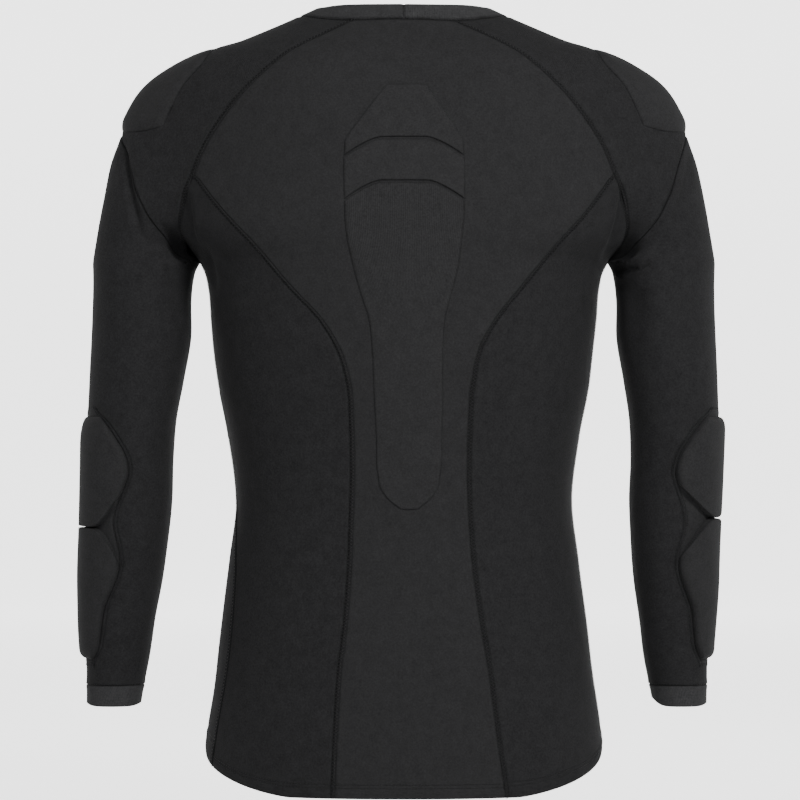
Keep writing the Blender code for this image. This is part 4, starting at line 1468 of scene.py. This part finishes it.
class SHIRT_OT_sewing(bpy.types.Operator):
    """Sews the flat seams, the hem and the neck with needle and cover threads"""

    bl_idname = "shirt.sewing"
    bl_label = "Sewing"

    def execute(self, context):
        tree = stitch_tree()
        body, arms = [], []
        for name in ("back_centre", "front"):
            body += needle_runs(name) + cover_runs(name) + [row_run(name, NEEDLE_ROW)]
        for name in ("back_centre", "front", "side_back_left", "side_back_right"):
            up = GRIDS[name].away("bottom")[:, 0]
            body += [row_run(name, np.abs(up - line).argmin()) for line in HEM_NEEDLES]
        for word, _ in SIDES:
            shoulder = "shoulder_" + word
            body += needle_runs("side_back_" + word)
            arms += needle_runs(shoulder) + needle_runs("elbow_panel_" + word) + cover_runs(shoulder)
            arms += [row_run(shoulder, NEEDLE_ROW), row_run("sleeve_" + word, -1 - NEEDLE_ROW)]
        sew("body_stitches", body, tree)
        sew("sleeve_stitches", arms, tree)
        return {"FINISHED"}


def paper_finish(name, color, glow=0.0):
    """Matt studio paper, with a very faint grain."""
    paper = Finish(name)
    grain = paper.noise(Scale=60, Detail=3)
    paper.feed(Base_Color=paper.mix(grain, color, 0.99), Roughness=0.9)
    if glow:
        paper.feed(Emission_Color=(1, 1, 1, 1), Emission_Strength=glow)
    return paper.material


FLOOR_Z = -0.76
FLOOR_FRONT_Y, FLOOR_BACK_Y = -4.0, 0.45
WALL_Y, WALL_TOP_Z, WALL_HALF_WIDTH = 5.4, 2.6, 3.0
WALL_CURVE = 1.2
CAMERA_AT = (-0.0034, -3.5, -0.337)
CAMERA_LENS = 175
# Where each light stands and aims, and its width. The rim lights stand on both sides.
KEY_LIGHT = ((1.6, -2.6, 1.5), (0, 0, -0.25), 0.9)
FILL_LIGHT = ((-1.2, -2.4, 1.6), (0, 0, 0), 1.1)
FILL_SHARE = 0.36
RIM_LIGHTS = {
    "left_rim": ((-1.5, 0.9, 0.1), (0, 0, -0.35), 1.2),
    "right_rim": ((1.5, 0.9, 0.1), (0, 0, -0.35), 1.2),
}


class SHIRT_OT_stage(bpy.types.Operator):
    """Makes the pale floor and backdrop, the soft lights and the camera"""

    bl_idname = "shirt.stage"
    bl_label = "Stage"

    def execute(self, context):
        settings = context.scene.shirt_stage
        self.backdrop(settings)
        self.light("key_light", settings.key_power, *KEY_LIGHT)
        self.light("fill_light", settings.key_power * FILL_SHARE, *FILL_LIGHT)
        for name, light in RIM_LIGHTS.items():
            self.light(name, settings.rim_power, *light)
        world = bpy.data.worlds.new("room")
        context.scene.world = world
        world.use_nodes = True
        background = world.node_tree.nodes["Background"]
        background.inputs["Color"].default_value = (1, 1, 1, 1)
        background.inputs["Strength"].default_value = settings.world_strength
        camera = bpy.data.cameras.new("camera")
        camera.lens = CAMERA_LENS
        camera.sensor_width = 36
        eye = bpy.data.objects.new("camera", camera)
        eye.location = CAMERA_AT
        eye.rotation_euler = (math.radians(90), 0, 0)
        context.scene.collection.objects.link(eye)
        context.scene.camera = eye
        return {"FINISHED"}

    def backdrop(self, settings):
        """A floor that curves up into a lit wall behind the shirt."""
        turn = np.linspace(0, math.pi / 2, 13)
        profile = [(FLOOR_FRONT_Y, FLOOR_Z), (FLOOR_BACK_Y, FLOOR_Z)]
        y, z = WALL_Y - WALL_CURVE + WALL_CURVE * np.sin(turn), FLOOR_Z + WALL_CURVE * (1 - np.cos(turn))
        profile += list(zip(y.tolist(), z.tolist()))
        profile.append((WALL_Y, WALL_TOP_Z))
        verts = [(x, y, z) for y, z in profile for x in (-WALL_HALF_WIDTH, WALL_HALF_WIDTH)]
        faces = [(2 * k, 2 * k + 1, 2 * k + 3, 2 * k + 2) for k in range(len(profile) - 1)]
        mesh = bpy.data.meshes.new("backdrop")
        mesh.from_pydata(verts, [], faces)
        mesh.materials.append(paper_finish("studio_floor", tuple(settings.floor_color)))
        mesh.materials.append(paper_finish("studio_wall", tuple(settings.floor_color), settings.wall_glow))
        for face in mesh.polygons:
            face.material_index = 0 if face.index == 0 else 1
        mesh.shade_smooth()
        obj = bpy.data.objects.new("backdrop", mesh)
        bpy.context.scene.collection.objects.link(obj)

    def light(self, name, power, place, aim, size):
        lamp = bpy.data.lights.new(name, "AREA")
        lamp.shape = "DISK"
        lamp.size = size
        lamp.energy = power
        obj = bpy.data.objects.new(name, lamp)
        obj.location = place
        obj.rotation_euler = (Vector(aim) - Vector(place)).to_track_quat("-Z", "Y").to_euler()
        bpy.context.scene.collection.objects.link(obj)


class SHIRT_PT_panel(bpy.types.Panel):
    """Lists the pieces in the 3D view's sidebar"""

    bl_idname = "SHIRT_PT_panel"
    bl_label = "Compression shirt"
    bl_space_type = "VIEW_3D"
    bl_region_type = "UI"
    bl_category = "Shirt"

    def draw(self, context):
        scene = context.scene
        for group in (scene.shirt_cloth, scene.shirt_pads, scene.shirt_thread, scene.shirt_stage):
            box = self.layout.box()
            for name in group.__annotations__:
                box.prop(group, name)
        for operator in OPERATORS:
            self.layout.operator(operator.bl_idname)


GROUPS = {
    "shirt_cloth": ClothSettings,
    "shirt_pads": PadSettings,
    "shirt_thread": ThreadSettings,
    "shirt_stage": StageSettings,
}
OPERATORS = (SHIRT_OT_body, SHIRT_OT_sleeves, SHIRT_OT_collar, SHIRT_OT_pads, SHIRT_OT_sewing, SHIRT_OT_stage)


def register():
    for kind in (*GROUPS.values(), *OPERATORS, SHIRT_PT_panel):
        bpy.utils.register_class(kind)
    for name, group in GROUPS.items():
        setattr(bpy.types.Scene, name, PointerProperty(type=group))


def unregister():
    for name in GROUPS:
        delattr(bpy.types.Scene, name)
    for kind in (SHIRT_PT_panel, *OPERATORS[::-1], *list(GROUPS.values())[::-1]):
        bpy.utils.unregister_class(kind)


def main():
    register()
    bpy.ops.shirt.body()
    bpy.ops.shirt.sleeves()
    bpy.ops.shirt.collar()
    bpy.ops.shirt.pads()
    bpy.ops.shirt.sewing()
    bpy.ops.shirt.stage()


if __name__ == "__main__":
    main()
